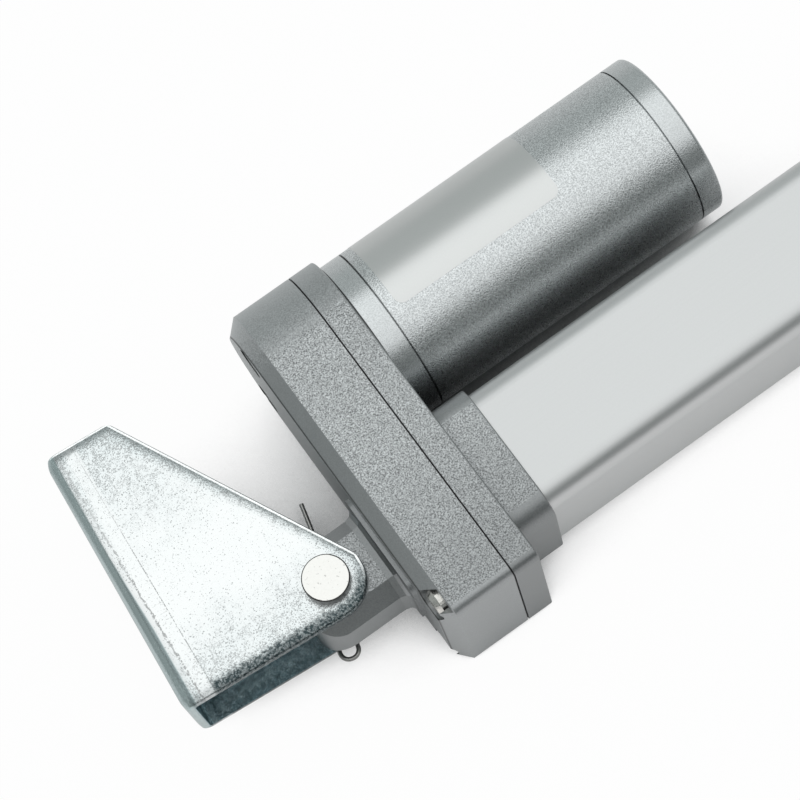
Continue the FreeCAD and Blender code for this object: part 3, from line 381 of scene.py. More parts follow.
def coat(tree, shader, colour, roughness):
    """Feeds a finish's colour and roughness."""
    wire(tree, (colour, shader.inputs["Base Color"]), (roughness, shader.inputs["Roughness"]))


def add_bump(tree, shader, height, strength, distance):
    bump = add_node(tree, "ShaderNodeBump")
    bump.inputs["Strength"].default_value = strength
    bump.inputs["Distance"].default_value = distance
    wire(tree, (height, bump.inputs["Height"]), (bump.outputs["Normal"], shader.inputs["Normal"]))
    return bump


def plain_finish(name, colour, metallic, roughness, size, contrast=0.1, depth=0.00003):
    """A finish with fine grain in its colour, gloss and surface."""
    material, tree, shader = new_finish(name, metallic, roughness)
    mask = grain(tree, size)
    tone = mix_colours(tree, mask, shade(colour, 1.0 - contrast), shade(colour, 1.0 + contrast))
    coat(tree, shader, tone, stretch(tree, mask, 0.0, 1.0, roughness * 0.85, min(1.0, roughness * 1.15)))
    add_bump(tree, shader, mask, 0.4, depth)
    return material


def station(tree, vector, axis):
    """Place along one of the actuator's own axes, from the pivot."""
    made = add_node(tree, "ShaderNodeVectorMath", operation="DOT_PRODUCT")
    wire(tree, (vector, made.inputs[0]))
    made.inputs[1].default_value = axis
    return minus(tree, made.outputs["Value"], PIN.dot(axis))


def ear_edge(tree, x, y):
    """Distance to the nearest cut edge of the bracket's ear."""
    nose = PIN.y - BRACKET_LOW.y
    ahead = minus(tree, x, PIN.x)
    aside = minus(tree, y, PIN.y)
    round_x = most(tree, ahead, 0.0)
    round_y = least(tree, aside, 0.0)
    squares = plus(tree, times(tree, round_x, round_x), times(tree, round_y, round_y))
    to_nose = minus(tree, nose, math_node(tree, "SQRT", squares))
    lean = plus(tree, times(tree, ahead, math.cos(EAR_SLANT)), times(tree, aside, math.sin(EAR_SLANT)))
    to_slant = minus(tree, nose, lean)
    to_top = minus(tree, BRACKET_HIGH.y, y)
    return least(tree, to_nose, to_slant, to_top)


def bend_marks(tree, x, y):
    """Rough line, thin press line and short cross strokes beside the bend."""
    drift = plus(tree, sway(tree, 0.004, 1.0, 0.0008), sway(tree, 0.0006, 1.6, 0.0006))
    rough = plus(tree, x, times(tree, y, 0.028), drift)
    thin = plus(tree, x, times(tree, y, 0.015))
    marks = []
    for line, place, half, size, low in ((rough, 0.00445, 0.00026, 0.0005, 0.24),
                                         (thin, 0.00740, 0.00010, 0.0003, 0.30)):
        line = stretch(tree, away(tree, line, place), half * 0.5, half * 1.3, 0.80, 0.0)
        marks.append(times(tree, line, stretch(tree, y, 0.024, 0.036, 1.0, 0.6),
                           stretch(tree, grain(tree, size, 3.0), low, low + 0.25)))
    strokes = use_group(tree, "drawn lines", lines_group, Scale=3200.0, Length=5.0)
    marks.append(times(tree, stretch(tree, strokes, 0.61, 0.68),
                       between(tree, x, 0.0048, 0.0056, *BAND_END),
                       stretch(tree, y, 0.004, 0.022, 1.0, 0.35), 0.4))
    return most(tree, *marks)


def zinc_finish(settings):
    """Bright zinc on rolled sheet: clear at the middle of the ear, peeled and dull towards its edges,
    with a painted highlight on the lip along the cut edges, painted shade on the rolled edge, the bend
    and the inside faces, and press marks beside the bend."""
    material, tree, shader = new_finish("bright zinc plate", 1.0, 0.22)
    colour = tuple(settings.zinc)
    # Colours of the painted shade and of the painted highlight on the lip
    dark, bright = (0.035, 0.055, 0.060), (0.95, 0.96, 0.96)
    # Painted reflection of the bend, and painted shade of the inside faces
    bend_reflection, shaded = (0.64, 0.76, 0.765), (0.58, 0.80, 0.87)
    x, y, z = axes(tree)[1:]
    edge = ear_edge(tree, x, y)
    side = math_node(tree, "ABSOLUTE", z)
    ragged = plus(tree, edge, times(tree, grain(tree, 0.0008, 2.6), 0.0014))
    low = stretch(tree, y, -0.0045, 0.0010, 1.0, 0.0)

    # Dull peel towards the top, the lower edge and the cut edges
    dull = plus(tree, stretch(tree, y, 0.020, 0.050, 0.0, 0.68), stretch(tree, y, -0.003, 0.011, 0.5, 0.0),
                stretch(tree, edge, 0.0010, 0.0036, 0.7, 0.0), sway(tree, 0.006, 1.5, 0.4))
    pressed = between(tree, x, 0.0040, 0.0048, *BAND_END)
    dull = times(tree, stretch(tree, dull, 0.0, 1.0), stretch(tree, pressed, 0.0, 1.0, 1.0, 0.35))
    tone = mix_colours(tree, dull, colour, (colour[0] * 0.88, colour[1] * 0.93, colour[2] * 0.94))

    # Fine dots and worm-shaped pits
    reach = stretch(tree, dull, 0.0, 1.0, 0.12, 0.46)
    dots = stretch(tree, minus(tree, reach, grain(tree, 0.00032, 2.4)), 0.0, 0.14, 0.0, 0.72)
    worms = times(tree, stretch(tree, away(tree, grain(tree, 0.0006, 1.0), 0.5), 0.012, 0.05, 1.0, 0.0),
                  stretch(tree, grain(tree, 0.0016, 2.5), 0.35, 0.6),
                  stretch(tree, dull, 0.08, 0.6, 0.0, 0.62))
    marks = most(tree, dots, worms, bend_marks(tree, x, y))
    tone = mix_colours(tree, marks, tone, shade(colour, 0.32))

    # Painted highlight on the lip of the outer face, with painted shade on the sheet's rolled shoulder inside it
    # and along the lower edge
    lip = times(tree, between(tree, edge, 0.00016, 0.00026, 0.00056, 0.00074),
                stretch(tree, side, EAR_MIDDLE - 0.0002, EAR_MIDDLE), stretch(tree, low, 0.0, 1.0, 1.0, 0.1))
    shoulder_shade = times(tree, stretch(tree, ragged, 0.0014, 0.0028, 0.28, 0.0),
                     stretch(tree, lip, 0.0, 1.0, 1.0, 0.0))
    lower = times(tree, stretch(tree, ragged, 0.0022, 0.0036, 1.0, 0.0), low,
                  stretch(tree, x, 0.0066, 0.0080),
                  stretch(tree, grain(tree, 0.0005, 2.0), 0.38, 0.60, 0.98, 0.70))
    tone = mix_colours(tree, lip, tone, bright)
    tone = mix_colours(tree, most(tree, shoulder_shade, lower), tone, dark)

    # Bend painted blue-grey with a dark band and a faint dark strip past it, as painted reflection, and the inside
    # faces painted as shade, mottled
    past = minus(tree, x, stretch(tree, y, 0.010, 0.028, 0.0029, 0.0022))
    faint = stretch(tree, past, 0.0002, 0.0016, 0.14, 0.0)
    deep = plus(tree, stretch(tree, x, 0.0002, 0.0014, 0.42, 0.22),
                stretch(tree, x, 0.0018, 0.0024, 0.0, 0.48))
    bend = stretch(tree, past, -0.0002, 0.0002, 1.0, 0.0)
    tone = mix_colours(tree, times(tree, bend, 0.8), tone, bend_reflection)
    tone = mix_colours(tree, most(tree, times(tree, bend, deep), faint), tone, dark)
    inside = times(tree, stretch(tree, side, EAR_INNER - 0.0001, EAR_INNER + 0.0001, 0.8, 0.0),
                   stretch(tree, x, 0.0020, 0.0022))
    tone = mix_colours(tree, inside, tone, shaded)
    mottled_shade = times(tree, inside, stretch(tree, grain(tree, 0.0011, 2.4), 0.36, 0.62, 0.62, 0.0))
    tone = mix_colours(tree, mottled_shade, tone, dark)

    coat(tree, shader, tone, stretch(tree, dull, 0.0, 1.0, 0.20, 0.27))
    peel = times(tree, grain(tree, 0.0005, 1.6), stretch(tree, dull, 0.0, 1.0, 0.35, 1.0))
    bump = add_bump(tree, shader, minus(tree, peel, marks), 0.5, 0.00006)

    # The lip's normal is set square to the face, so its painted highlight is shaded as part of the flat face
    upright = add_node(tree, "ShaderNodeCombineXYZ")
    facing = add_node(tree, "ShaderNodeMix", data_type="VECTOR")
    surface = add_node(tree, "ShaderNodeNewGeometry")
    sockets = [socket for socket in facing.inputs if socket.type == "VECTOR" and socket.name in "AB"]
    turned = [socket for socket in facing.outputs if socket.type == "VECTOR"][0]
    wire(tree, (math_node(tree, "SIGN", z), upright.inputs["Z"]), (lip, facing.inputs[0]),
         (surface.outputs["Normal"], sockets[0]), (upright.outputs["Vector"], sockets[1]),
         (turned, bump.inputs["Normal"]))
    return material


def pin_finish(settings):
    """Plated pin: clean flat head with fine scratches, round sides painted nearly black as shade."""
    material, tree, shader = new_finish("plated pin", 1.0, 0.30)
    colour = tuple(settings.pin)
    scratch = stretch(tree, grain(tree, 0.0007, 2.6), 0.03, 0.10, 0.6, 0.0)
    haze = grain(tree, 0.0004, 1.5)
    face = mix_colours(tree, haze, shade(colour, 0.95), shade(colour, 1.04))
    face = mix_colours(tree, scratch, face, shade(colour, 0.45))
    # Round sides painted nearly black: painted shade
    side = mix_colours(tree, haze, shade(colour, 0.07), shade(colour, 0.12))
    coat(tree, shader, mix_colours(tree, flat_sides(tree, 0.97), side, face),
         stretch(tree, haze, 0.0, 1.0, 0.27, 0.34))
    add_bump(tree, shader, minus(tree, haze, scratch), 0.3, 0.00002)
    return material


def cast_finish(settings):
    """Silver paint over a die-casting: crisp sparkle on the flat sides, fainter on the round end and
    smoother elsewhere, with painted light on the round end, painted shade towards the foot, on the front half
    and at the tang, and a thin broken painted highlight where the sparkle ends."""
    material, tree, shader = new_finish("cast silver paint", 0.9, 0.45)
    colour = tuple(settings.cast)
    vector, _, _, z = axes(tree)
    flat = flat_sides(tree, 0.975)
    place = station(tree, vector, ACROSS)
    along = station(tree, vector, ALONG)
    front = stretch(tree, along, SPLIT - 0.0002, SPLIT + 0.0002)

    # Sparkle on the flats, off the pad round the tang, and faint on the round end
    across = plus(tree, place, times(tree, grain(tree, 0.002, 1.5), 0.002))
    limit = stretch(tree, front, 0.0, 1.0, CAN_AXIS + 0.0030, CAN_AXIS + 0.0055)
    level = math_node(tree, "ABSOLUTE", z)
    rough = times(tree, flat, stretch(tree, minus(tree, across, limit), 0.0, 0.002, 1.0, 0.35),
                  stretch(tree, away(tree, level, PAD_LEVEL), 0.0005, 0.0007))
    faint = times(tree, stretch(tree, place, CAN_AXIS + 0.001, CAN_AXIS + 0.004, 0.0, 0.42),
                  stretch(tree, place, CAN_AXIS + 0.006, CAN_AXIS + 0.016, 1.0, 0.65))
    rough = most(tree, rough, faint)
    sparkle = grain(tree, settings.grain, 2.8)
    fine = grain(tree, settings.grain, 1.8)
    smooth_tone = mix_colours(tree, fine, shade(colour, 1.02), shade(colour, 1.42))
    flat_tone = mix_colours(tree, sparkle, shade(colour, 0.51), shade(colour, 2.15))
    tone = mix_colours(tree, rough, smooth_tone, flat_tone)

    # Painted light on the round end, and painted shade on the foot, the front half and the tang
    pale = stretch(tree, place, CAN_AXIS + 0.005, CAN_AXIS + 0.017, 0.0, 0.42)
    tone = mix_colours(tree, pale, tone, shade(colour, 1.9))
    foot = times(tree, stretch(tree, place, -0.018, 0.014, 0.28, 0.0), most(tree, flat, front))
    tang = stretch(tree, along, REAR - 0.001, REAR, 0.2, 0.0)
    painted_shade = most(tree, plus(tree, foot, times(tree, front, 0.05)), tang)
    tone = mix_colours(tree, painted_shade, tone, shade(colour, 0.25))

    # Broken painted highlight along the crease beside the flats, and a dark line where the chamfer meets the rear
    # face
    broken = stretch(tree, grain(tree, 0.003, 3.0), 0.4, 0.7, 0.0, 0.6)
    crease_highlight = times(tree, between(tree, flat, 0.45, 0.6, 0.7, 0.85), broken,
                   stretch(tree, front, 0.0, 1.0, 0.2, 1.0), stretch(tree, place, 0.008, 0.010, 0.15, 1.0))
    tone = mix_colours(tree, crease_highlight, tone, shade(colour, 2.3))
    line = between(tree, along, REAR + 0.00002, REAR + 0.00004, REAR + 0.00024, REAR + 0.00036)
    tone = mix_colours(tree, times(tree, line, 0.7), tone, shade(colour, 0.12))

    coat(tree, shader, tone, stretch(tree, sparkle, 0.0, 1.0, 0.38, 0.48))
    share = stretch(tree, rough, 0.0, 1.0, 0.08, 1.0)
    add_bump(tree, shader, times(tree, sparkle, share), 0.6, 0.00008)
    return material


def satin_finish(name, settings, spread, depth):
    """Satin silver paint with fine metal flake, dark in the seams beside the motor's ring."""
    material, tree, shader = new_finish(name, 1.0, 0.28)
    colour = tuple(settings.barrel)
    flake = grain(tree, 0.00028, 3.0)
    tone = mix_colours(tree, flake, shade(colour, 1.0 - spread), shade(colour, 1.0 + spread))
    along = station(tree, axes(tree)[0], ALONG)
    for place, half, strength in ((RING_SEAT, 0.00034, 0.94), (CAN_LOW.x, 0.00005, 0.5)):
        seam = stretch(tree, away(tree, along, place), half, half + 0.0001, strength, 0.0)
        tone = mix_colours(tree, seam, tone, (0.02, 0.02, 0.02))
    coat(tree, shader, tone, stretch(tree, flake, 0.0, 1.0, 0.25, 0.31))
    add_bump(tree, shader, flake, 0.6, depth)
    return material


def tube_finish(settings):
    """Matt anodised extrusion with faint drawing lines along it."""
    material, tree, shader = new_finish("anodised tube", 0.9, 0.42)
    colour = tuple(settings.tube)
    lines = use_group(tree, "drawn lines", lines_group, Scale=1800.0, Length=60.0, Turn=SWING, Detail=1.0)
    both = times(tree, plus(tree, lines, grain(tree, 0.0004, 1.5)), 0.5)
    tone = mix_colours(tree, both, shade(colour, 0.96), shade(colour, 1.04))
    coat(tree, shader, tone, stretch(tree, both, 0.2, 0.8, 0.38, 0.45))
    add_bump(tree, shader, both, 0.2, 0.00002)
    return material


def label_finish(settings):
    """Bare silver foil with a faint weave."""
    material, tree, shader = new_finish("bare label foil", 0.95, 0.32)
    colour = tuple(settings.label)
    weave = grain(tree, 0.0003, 1.2)
    tone = mix_colours(tree, weave, shade(colour, 0.97), shade(colour, 1.03))
    coat(tree, shader, tone, stretch(tree, weave, 0.0, 1.0, 0.30, 0.35))
    return material


def paint(material, *nodes):
    for node in nodes:
        slots = NODES[node].data.materials
        slots.clear()
        slots.append(material)


def seat(piece, body, slot, *nodes):
    """Rides a new piece on a body, in place of the CAD nodes that it stands for; its slot is not used."""
    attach(piece, body)
    if nodes:
        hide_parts(*nodes)


def new_piece(name, mesh, material):
    mesh.materials.clear()
    mesh.materials.append(material)
    piece = bpy.data.objects.new(name, mesh)
    bpy.context.scene.collection.objects.link(piece)
    return piece


# Geometry trees
def new_tree(name, labels, *others):
    """A tree with an input for each length, and for other values by their kind of socket."""
    tree = bpy.data.node_groups.new(name, "GeometryNodeTree")
    tree.interface.new_socket("Geometry", in_out="INPUT", socket_type="NodeSocketGeometry")
    tree.interface.new_socket("Geometry", in_out="OUTPUT", socket_type="NodeSocketGeometry")
    sockets = {}
    for label, kind in (*((label, "Float") for label in labels), *others, ("Material", "Material")):
        made = tree.interface.new_socket(label, in_out="INPUT", socket_type="NodeSocket" + kind)
        sockets[label] = made.identifier
    return tree, sockets, tree.nodes.new("NodeGroupInput"), tree.nodes.new("NodeGroupOutput")


def finish_tree(tree, geometry, start, end):
    real = add_node(tree, "GeometryNodeRealizeInstances")
    dressed = add_node(tree, "GeometryNodeSetMaterial")
    wire(tree, (geometry, real.inputs["Geometry"]), (real.outputs["Geometry"], dressed.inputs["Geometry"]),
         (start.outputs["Material"], dressed.inputs["Material"]),
         (dressed.outputs["Geometry"], end.inputs["Geometry"]))


def grow(name, tree, sockets, points, values):
    """Runs a tree on loose points and returns its result as a plain mesh."""
    seed = bpy.data.meshes.new(name)
    seed.from_pydata(points, [], [])
    holder = bpy.data.objects.new(name + "_seed", seed)
    bpy.context.scene.collection.objects.link(holder)
    modifier = holder.modifiers.new("tree", "NODES")
    modifier.node_group = tree
    for label, value in values.items():
        modifier[sockets[label]] = value
    depsgraph = bpy.context.evaluated_depsgraph_get()
    mesh = bpy.data.meshes.new_from_object(holder.evaluated_get(depsgraph))
    mesh.name = name
    bpy.data.objects.remove(holder)
    return mesh


def set_along(tree, geometry, axis, amount, turn=(0.0, 0.0, 0.0)):
    """Turns a piece of geometry and moves it along one axis."""
    place = add_node(tree, "ShaderNodeCombineXYZ")
    moved = add_node(tree, "GeometryNodeTransform")
    moved.inputs["Rotation"].default_value = turn
    wire(tree, (amount, place.inputs[axis]), (geometry, moved.inputs["Geometry"]),
         (place.outputs["Vector"], moved.inputs["Translation"]))
    return moved.outputs["Geometry"]


def screw_tree():
    """One cross-recess screw at each point, its head towards -X."""
    tree, sockets, start, end = new_tree("cross recess screws", (
        "Head Radius", "Head Height", "Crown Radius", "Shank Radius", "Shank Length",
        "Recess Width", "Recess Length"))
    sizes = start.outputs

    def cone(radius, top, depth):
        made = add_node(tree, "GeometryNodeMeshCone")
        made.inputs["Vertices"].default_value = FACETS
        wire(tree, (sizes[radius], made.inputs["Radius Bottom"]), (sizes[top], made.inputs["Radius Top"]),
             (depth, made.inputs["Depth"]))
        return made.outputs["Mesh"]

    def slot(x, y):
        size = add_node(tree, "ShaderNodeCombineXYZ")
        made = add_node(tree, "GeometryNodeMeshCube")
        wire(tree, (sizes[x], size.inputs["X"]), (sizes[y], size.inputs["Y"]),
             (sizes["Head Height"], size.inputs["Z"]), (size.outputs["Vector"], made.inputs["Size"]))
        return set_along(tree, made.outputs["Mesh"], "Z", sizes["Head Height"])

    half = times(tree, sizes["Head Height"], 0.5)
    below = times(tree, sizes["Shank Length"], -1.0)
    skirt = cone("Head Radius", "Head Radius", half)
    dome = set_along(tree, cone("Head Radius", "Crown Radius", half), "Z", half)
    shank = set_along(tree, cone("Shank Radius", "Shank Radius", sizes["Shank Length"]), "Z", below)
    union = add_node(tree, "GeometryNodeMeshBoolean", operation="UNION")
    wire(tree, *((solid, union.inputs["Mesh 2"]) for solid in (skirt, dome, shank)))
    cut = add_node(tree, "GeometryNodeMeshBoolean", operation="DIFFERENCE")
    wire(tree, (union.outputs["Mesh"], cut.inputs["Mesh 1"]))
    for x, y in (("Recess Length", "Recess Width"), ("Recess Width", "Recess Length")):
        wire(tree, (slot(x, y), cut.inputs["Mesh 2"]))
    spread = add_node(tree, "GeometryNodeInstanceOnPoints")
    spread.inputs["Rotation"].default_value = (0.0, -math.pi / 2, 0.0)
    wire(tree, (sizes["Geometry"], spread.inputs["Points"]), (cut.outputs["Mesh"], spread.inputs["Instance"]))
    finish_tree(tree, spread.outputs["Instances"], start, end)
    return tree, sockets


def loose_screws(node):
    """Lowest corner, highest corner and points of each screw in a CAD node, in the actuator's axes."""
    mesh = bmesh.new()
    mesh.from_mesh(NODES[node].data)
    bmesh.ops.remove_doubles(mesh, verts=mesh.verts, dist=MERGE)
    left = set(mesh.verts)
    screws = []
    while left:
        points = []
        queue = [left.pop()]
        while queue:
            vertex = queue.pop()
            points.append(TO_ACTUATOR @ vertex.co)
            for edge in vertex.link_edges:
                other = edge.other_vert(vertex)
                if other in left:
                    left.remove(other)
                    queue.append(other)
        screws.append((*corners(points), points))
    mesh.free()
    return sorted(screws, key=lambda screw: tuple(screw[0]))


def make_screws(name, node, material, settings, faces_back):
    """Cross-recess screws of the same sizes as a node of plain screws."""
    tree, sockets = screw_tree()
    screws = loose_screws(node)
    low, high, points = screws[0]
    middle = (low + high) / 2
    head_radius = (high.z - low.z) / 2
    head_end, shank_end = (low.x, high.x) if faces_back else (high.x, low.x)
    shank_radius = max(abs(point.z - middle.z) for point in points if abs(point.x - shank_end) < SAME_PLACE)
    rims = [point.x for point in points
            if abs(math.hypot(point.y - middle.y, point.z - middle.z) - head_radius) < SAME_RADIUS]
    seat_x = max(rims) if faces_back else min(rims)
    sign = 1.0 if faces_back else -1.0
    seats = [(sign * seat_x, (a.y + b.y) / 2, sign * (a.z + b.z) / 2) for a, b, _ in screws]
    mesh = grow(name, tree, sockets, seats, {
        "Head Radius": head_radius,
        "Head Height": abs(seat_x - head_end),
        "Crown Radius": head_radius * settings.crown,
        "Shank Radius": shank_radius,
        "Shank Length": abs(shank_end - seat_x),
        "Recess Width": head_radius * settings.recess_width,
        "Recess Length": head_radius * settings.recess_length,
        "Material": material,
    })
    if not faces_back:
        mesh.transform(Matrix.Rotation(math.pi, 4, "Y"))
    mesh.transform(ACTUATOR)
    return new_piece(name, mesh, material)


def bar_along(tree, radius, low, high):
    """Round bar along X between two stations."""
    made = add_node(tree, "GeometryNodeMeshCylinder")
    made.inputs["Vertices"].default_value = FACETS
    wire(tree, (radius, made.inputs["Radius"]), (minus(tree, high, low), made.inputs["Depth"]))
    middle = times(tree, plus(tree, low, high), 0.5)
    return set_along(tree, made.outputs["Mesh"], "X", middle, (0.0, math.pi / 2, 0.0))


def thread_tree():
    """Screw with a trapezoid thread: a rolled-up grid, and plain steps behind it, along X."""
    crest, root, end_share = 0.14, 0.32, 1e-5
    tree, sockets, start, end = new_tree("lead screw thread", (
        "Lead", "Radius", "Depth", "Start", "Length", "Seat Radius", "Seat Start",
        "Tail Radius", "Tail Start"), ("Starts", "Int"), ("Rings", "Int"))
    sizes = start.outputs
    sheet = add_node(tree, "GeometryNodeMeshGrid")
    sheet.inputs["Size X"].default_value = 1.0
    sheet.inputs["Size Y"].default_value = 1.0
    sheet.inputs["Vertices Y"].default_value = FACETS + 1
    place = add_node(tree, "GeometryNodeInputPosition")
    parts = add_node(tree, "ShaderNodeSeparateXYZ")
    wire(tree, (sizes["Rings"], sheet.inputs["Vertices X"]),
         (place.outputs["Position"], parts.inputs["Vector"]))

    # Radius at each place of the grid: crest, groove, and closed ends
    share = plus(tree, parts.outputs["X"], 0.5)
    along = times(tree, share, sizes["Length"])
    turn = times(tree, parts.outputs["Y"], 2 * math.pi)
    turns = minus(tree, math_node(tree, "DIVIDE", along, sizes["Lead"]), parts.outputs["Y"])
    wave = math_node(tree, "PINGPONG", times(tree, turns, sizes["Starts"]), 0.5)
    radius = minus(tree, sizes["Radius"], times(tree, stretch(tree, wave, crest, root), sizes["Depth"]))
    from_end = least(tree, share, minus(tree, 1.0, share))
    radius = times(tree, radius, stretch(tree, from_end, 0.0, end_share))

    # The grid rolled up and closed, and the plain steps
    rolled = add_node(tree, "ShaderNodeCombineXYZ")
    thread = add_node(tree, "GeometryNodeSetPosition")
    closed = add_node(tree, "GeometryNodeMergeByDistance")
    closed.inputs["Distance"].default_value = MERGE
    joined = add_node(tree, "GeometryNodeJoinGeometry")
    wire(tree, (plus(tree, along, sizes["Start"]), rolled.inputs["X"]),
         (times(tree, radius, math_node(tree, "COSINE", turn)), rolled.inputs["Y"]),
         (times(tree, radius, math_node(tree, "SINE", turn)), rolled.inputs["Z"]),
         (sheet.outputs["Mesh"], thread.inputs["Geometry"]),
         (rolled.outputs["Vector"], thread.inputs["Position"]),
         (thread.outputs["Geometry"], closed.inputs["Geometry"]),
         (closed.outputs["Geometry"], joined.inputs["Geometry"]))
    for step in (("Seat Radius", "Seat Start", "Start"), ("Tail Radius", "Tail Start", "Seat Start")):
        wire(tree, (bar_along(tree, *(sizes[label] for label in step)), joined.inputs["Geometry"]))
    finish_tree(tree, joined.outputs["Geometry"], start, end)
    return tree, sockets


def rim(grid):
    """Vertices round the edge of a grid, in order."""
    inner = grid[1:-1]
    return grid[0] + [row[-1] for row in inner] + grid[-1][::-1] + [row[0] for row in reversed(inner)]


def label_mesh(settings):
    """Curved foil on the barrel, with round corners, in the actuator's axes."""
    corner_steps, width_steps, length_steps = 8, 40, 8
    start = CAN_LOW.x + settings.start
    stop = start + settings.length
    corner = settings.corner
    turns = [math.radians(90 * step / corner_steps) for step in range(corner_steps + 1)]
    rows = [(corner * (1 - math.cos(turn)), corner * (1 - math.sin(turn))) for turn in turns]
    rows += [(corner + (settings.width - 2 * corner) * step / width_steps, 0.0)
             for step in range(1, width_steps)]
    rows += [(settings.width - across, pull) for across, pull in reversed(rows[:corner_steps + 1])]
    mesh = bmesh.new()
    grids = []
    for radius in (CAN_RADIUS + settings.thickness, CAN_RADIUS - settings.thickness):
        grid = []
        for across, pull in rows:
            angle = across / CAN_RADIUS - settings.lower_edge
            y = CAN_AXIS + radius * math.sin(angle)
            z = radius * math.cos(angle)
            first, last = start + pull, stop - pull
            grid.append([mesh.verts.new((first + (last - first) * step / length_steps, y, z))
                         for step in range(length_steps + 1)])
        grids.append(grid)
    for grid in grids:
        for row, after in zip(grid, grid[1:]):
            for step in range(length_steps):
                face = (row[step], row[step + 1], after[step + 1], after[step])
                mesh.faces.new(face if grid is grids[0] else face[::-1])
    top, under = map(rim, grids)
    for here, after, below, below_after in zip(top, top[1:] + top[:1], under, under[1:] + under[:1]):
        mesh.faces.new((after, here, below, below_after))
    bmesh.ops.recalc_face_normals(mesh, faces=mesh.faces)
    made = bpy.data.meshes.new("motor_label")
    mesh.to_mesh(made)
    mesh.free()
    made.transform(ACTUATOR)
    made.set_sharp_from_angle(angle=math.radians(40))
    return made


# One operator for each group of pieces, and one for the stage
class ACTUATOR_OT_bracket(bpy.types.Operator):
    """Zinc plate on the folded bracket"""
    bl_idname = "actuator.bracket"
    bl_label = "Bracket"

    def execute(self, context):
        paint(zinc_finish(context.scene.actuator_finish), "rear_bracket")
        return {"FINISHED"}


class ACTUATOR_OT_pivot(bpy.types.Operator):
    """Plated steel on the pivot pin and its clip"""
    bl_idname = "actuator.pivot"
    bl_label = "Pivot pin and clip"

    def execute(self, context):
        settings = context.scene.actuator_finish
        paint(pin_finish(settings), "clevis_pin")
        paint(plain_finish("clip wire", shade(settings.pin, 0.42), 1.0, 0.30, 0.0008), "hairpin_clip")
        return {"FINISHED"}


class ACTUATOR_OT_housing(bpy.types.Operator):
    """Paint on the cast housing and front cap, with their rubber pieces"""
    bl_idname = "actuator.housing"
    bl_label = "Housing"

    def execute(self, context):
        paint(cast_finish(context.scene.actuator_finish), "rear_cover", "gear_housing", "front_cap")
        rubber = plain_finish("black rubber", (0.012, 0.012, 0.013), 0.0, 0.65, 0.0006, 0.2)
        paint(rubber, "housing_gasket", "cable_grommet", "tube_gasket", "rod_wiper")
        return {"FINISHED"}


class ACTUATOR_OT_screws(bpy.types.Operator):
    """Cross-recess screws of the housing, the front cap and the motor"""
    bl_idname = "actuator.screws"
    bl_label = "Screws"

    def execute(self, context):
        settings = context.scene.actuator_screws
        steel = plain_finish("screw steel", (0.62, 0.61, 0.58), 1.0, 0.26, 0.0007, 0.15)
        for name, node, faces_back in (("housing_screw_set", "housing_screws", True),
                                       ("cap_screw_set", "cap_screws", False),
                                       ("motor_screw_set", "motor_screws", True)):
            seat(make_screws(name, node, steel, settings, faces_back), "actuator", SLOT_OF[node], node)
        return {"FINISHED"}


class ACTUATOR_OT_motor(bpy.types.Operator):
    """Satin paint on the motor's ring, barrel and end cap"""
    bl_idname = "actuator.motor"
    bl_label = "Motor"

    def execute(self, context):
        settings = context.scene.actuator_finish
        paint(satin_finish("satin barrel paint", settings, 0.32, 0.00004), "motor_can")
        paint(satin_finish("satin ring paint", settings, 0.13, 0.00002), "motor_ring", "motor_end_cap")
        return {"FINISHED"}


class ACTUATOR_OT_label(bpy.types.Operator):
    """Bare label foil on the motor barrel"""
    bl_idname = "actuator.label"
    bl_label = "Label"

    def execute(self, context):
        settings = context.scene.actuator_label
        material = label_finish(context.scene.actuator_finish)
        seat(new_piece("motor_label", label_mesh(settings), material), "actuator", SLOT_OF["motor_can"])
        return {"FINISHED"}


class ACTUATOR_OT_tube(bpy.types.Operator):
    """Anodised tube and ground push rod"""
    bl_idname = "actuator.tube"
    bl_label = "Tube and rod"

    def execute(self, context):
        paint(tube_finish(context.scene.actuator_finish), "outer_tube")
        paint(plain_finish("ground rod", (0.60, 0.61, 0.62), 1.0, 0.22, 0.0004, 0.05, 0.00001),
              "push_rod", "rod_end")
        return {"FINISHED"}


class ACTUATOR_OT_drive(bpy.types.Operator):
    """Finishes of the gears, bearings, motor and switches inside"""
    bl_idname = "actuator.drive"
    bl_label = "Drive inside"

    def execute(self, context):
        # Colour, metallic, roughness and grain of each slot
        finishes = {
            "machined_steel": ((0.50, 0.51, 0.52), 1.0, 0.30, 0.0006),
            "bearing_steel": ((0.62, 0.63, 0.65), 1.0, 0.12, 0.0010),
            "gear_steel": ((0.42, 0.42, 0.43), 1.0, 0.34, 0.0006),
            "gear_plastic": ((0.76, 0.74, 0.66), 0.0, 0.45, 0.0008),
            "bronze": ((0.55, 0.36, 0.15), 1.0, 0.38, 0.0005),
            "bush_plastic": ((0.03, 0.03, 0.03), 0.0, 0.45, 0.0008),
            "switch_plastic": ((0.02, 0.02, 0.022), 0.0, 0.40, 0.0008),
            "button_plastic": ((0.45, 0.05, 0.03), 0.0, 0.35, 0.0006),
            "rail_board": ((0.02, 0.14, 0.06), 0.0, 0.40, 0.0005),
            "lamination": ((0.16, 0.15, 0.14), 0.8, 0.50, 0.0005),
            "copper": ((0.60, 0.24, 0.10), 1.0, 0.32, 0.0004),
            "ferrite": ((0.03, 0.03, 0.032), 0.0, 0.60, 0.0007),
            "carbon": ((0.02, 0.02, 0.02), 0.2, 0.55, 0.0005),
        }
        for slot, finish in finishes.items():
            material = plain_finish(slot.replace("_", " "), *finish)
            paint(material, *[node for node, used in SLOT_OF.items() if used == slot])
        return {"FINISHED"}


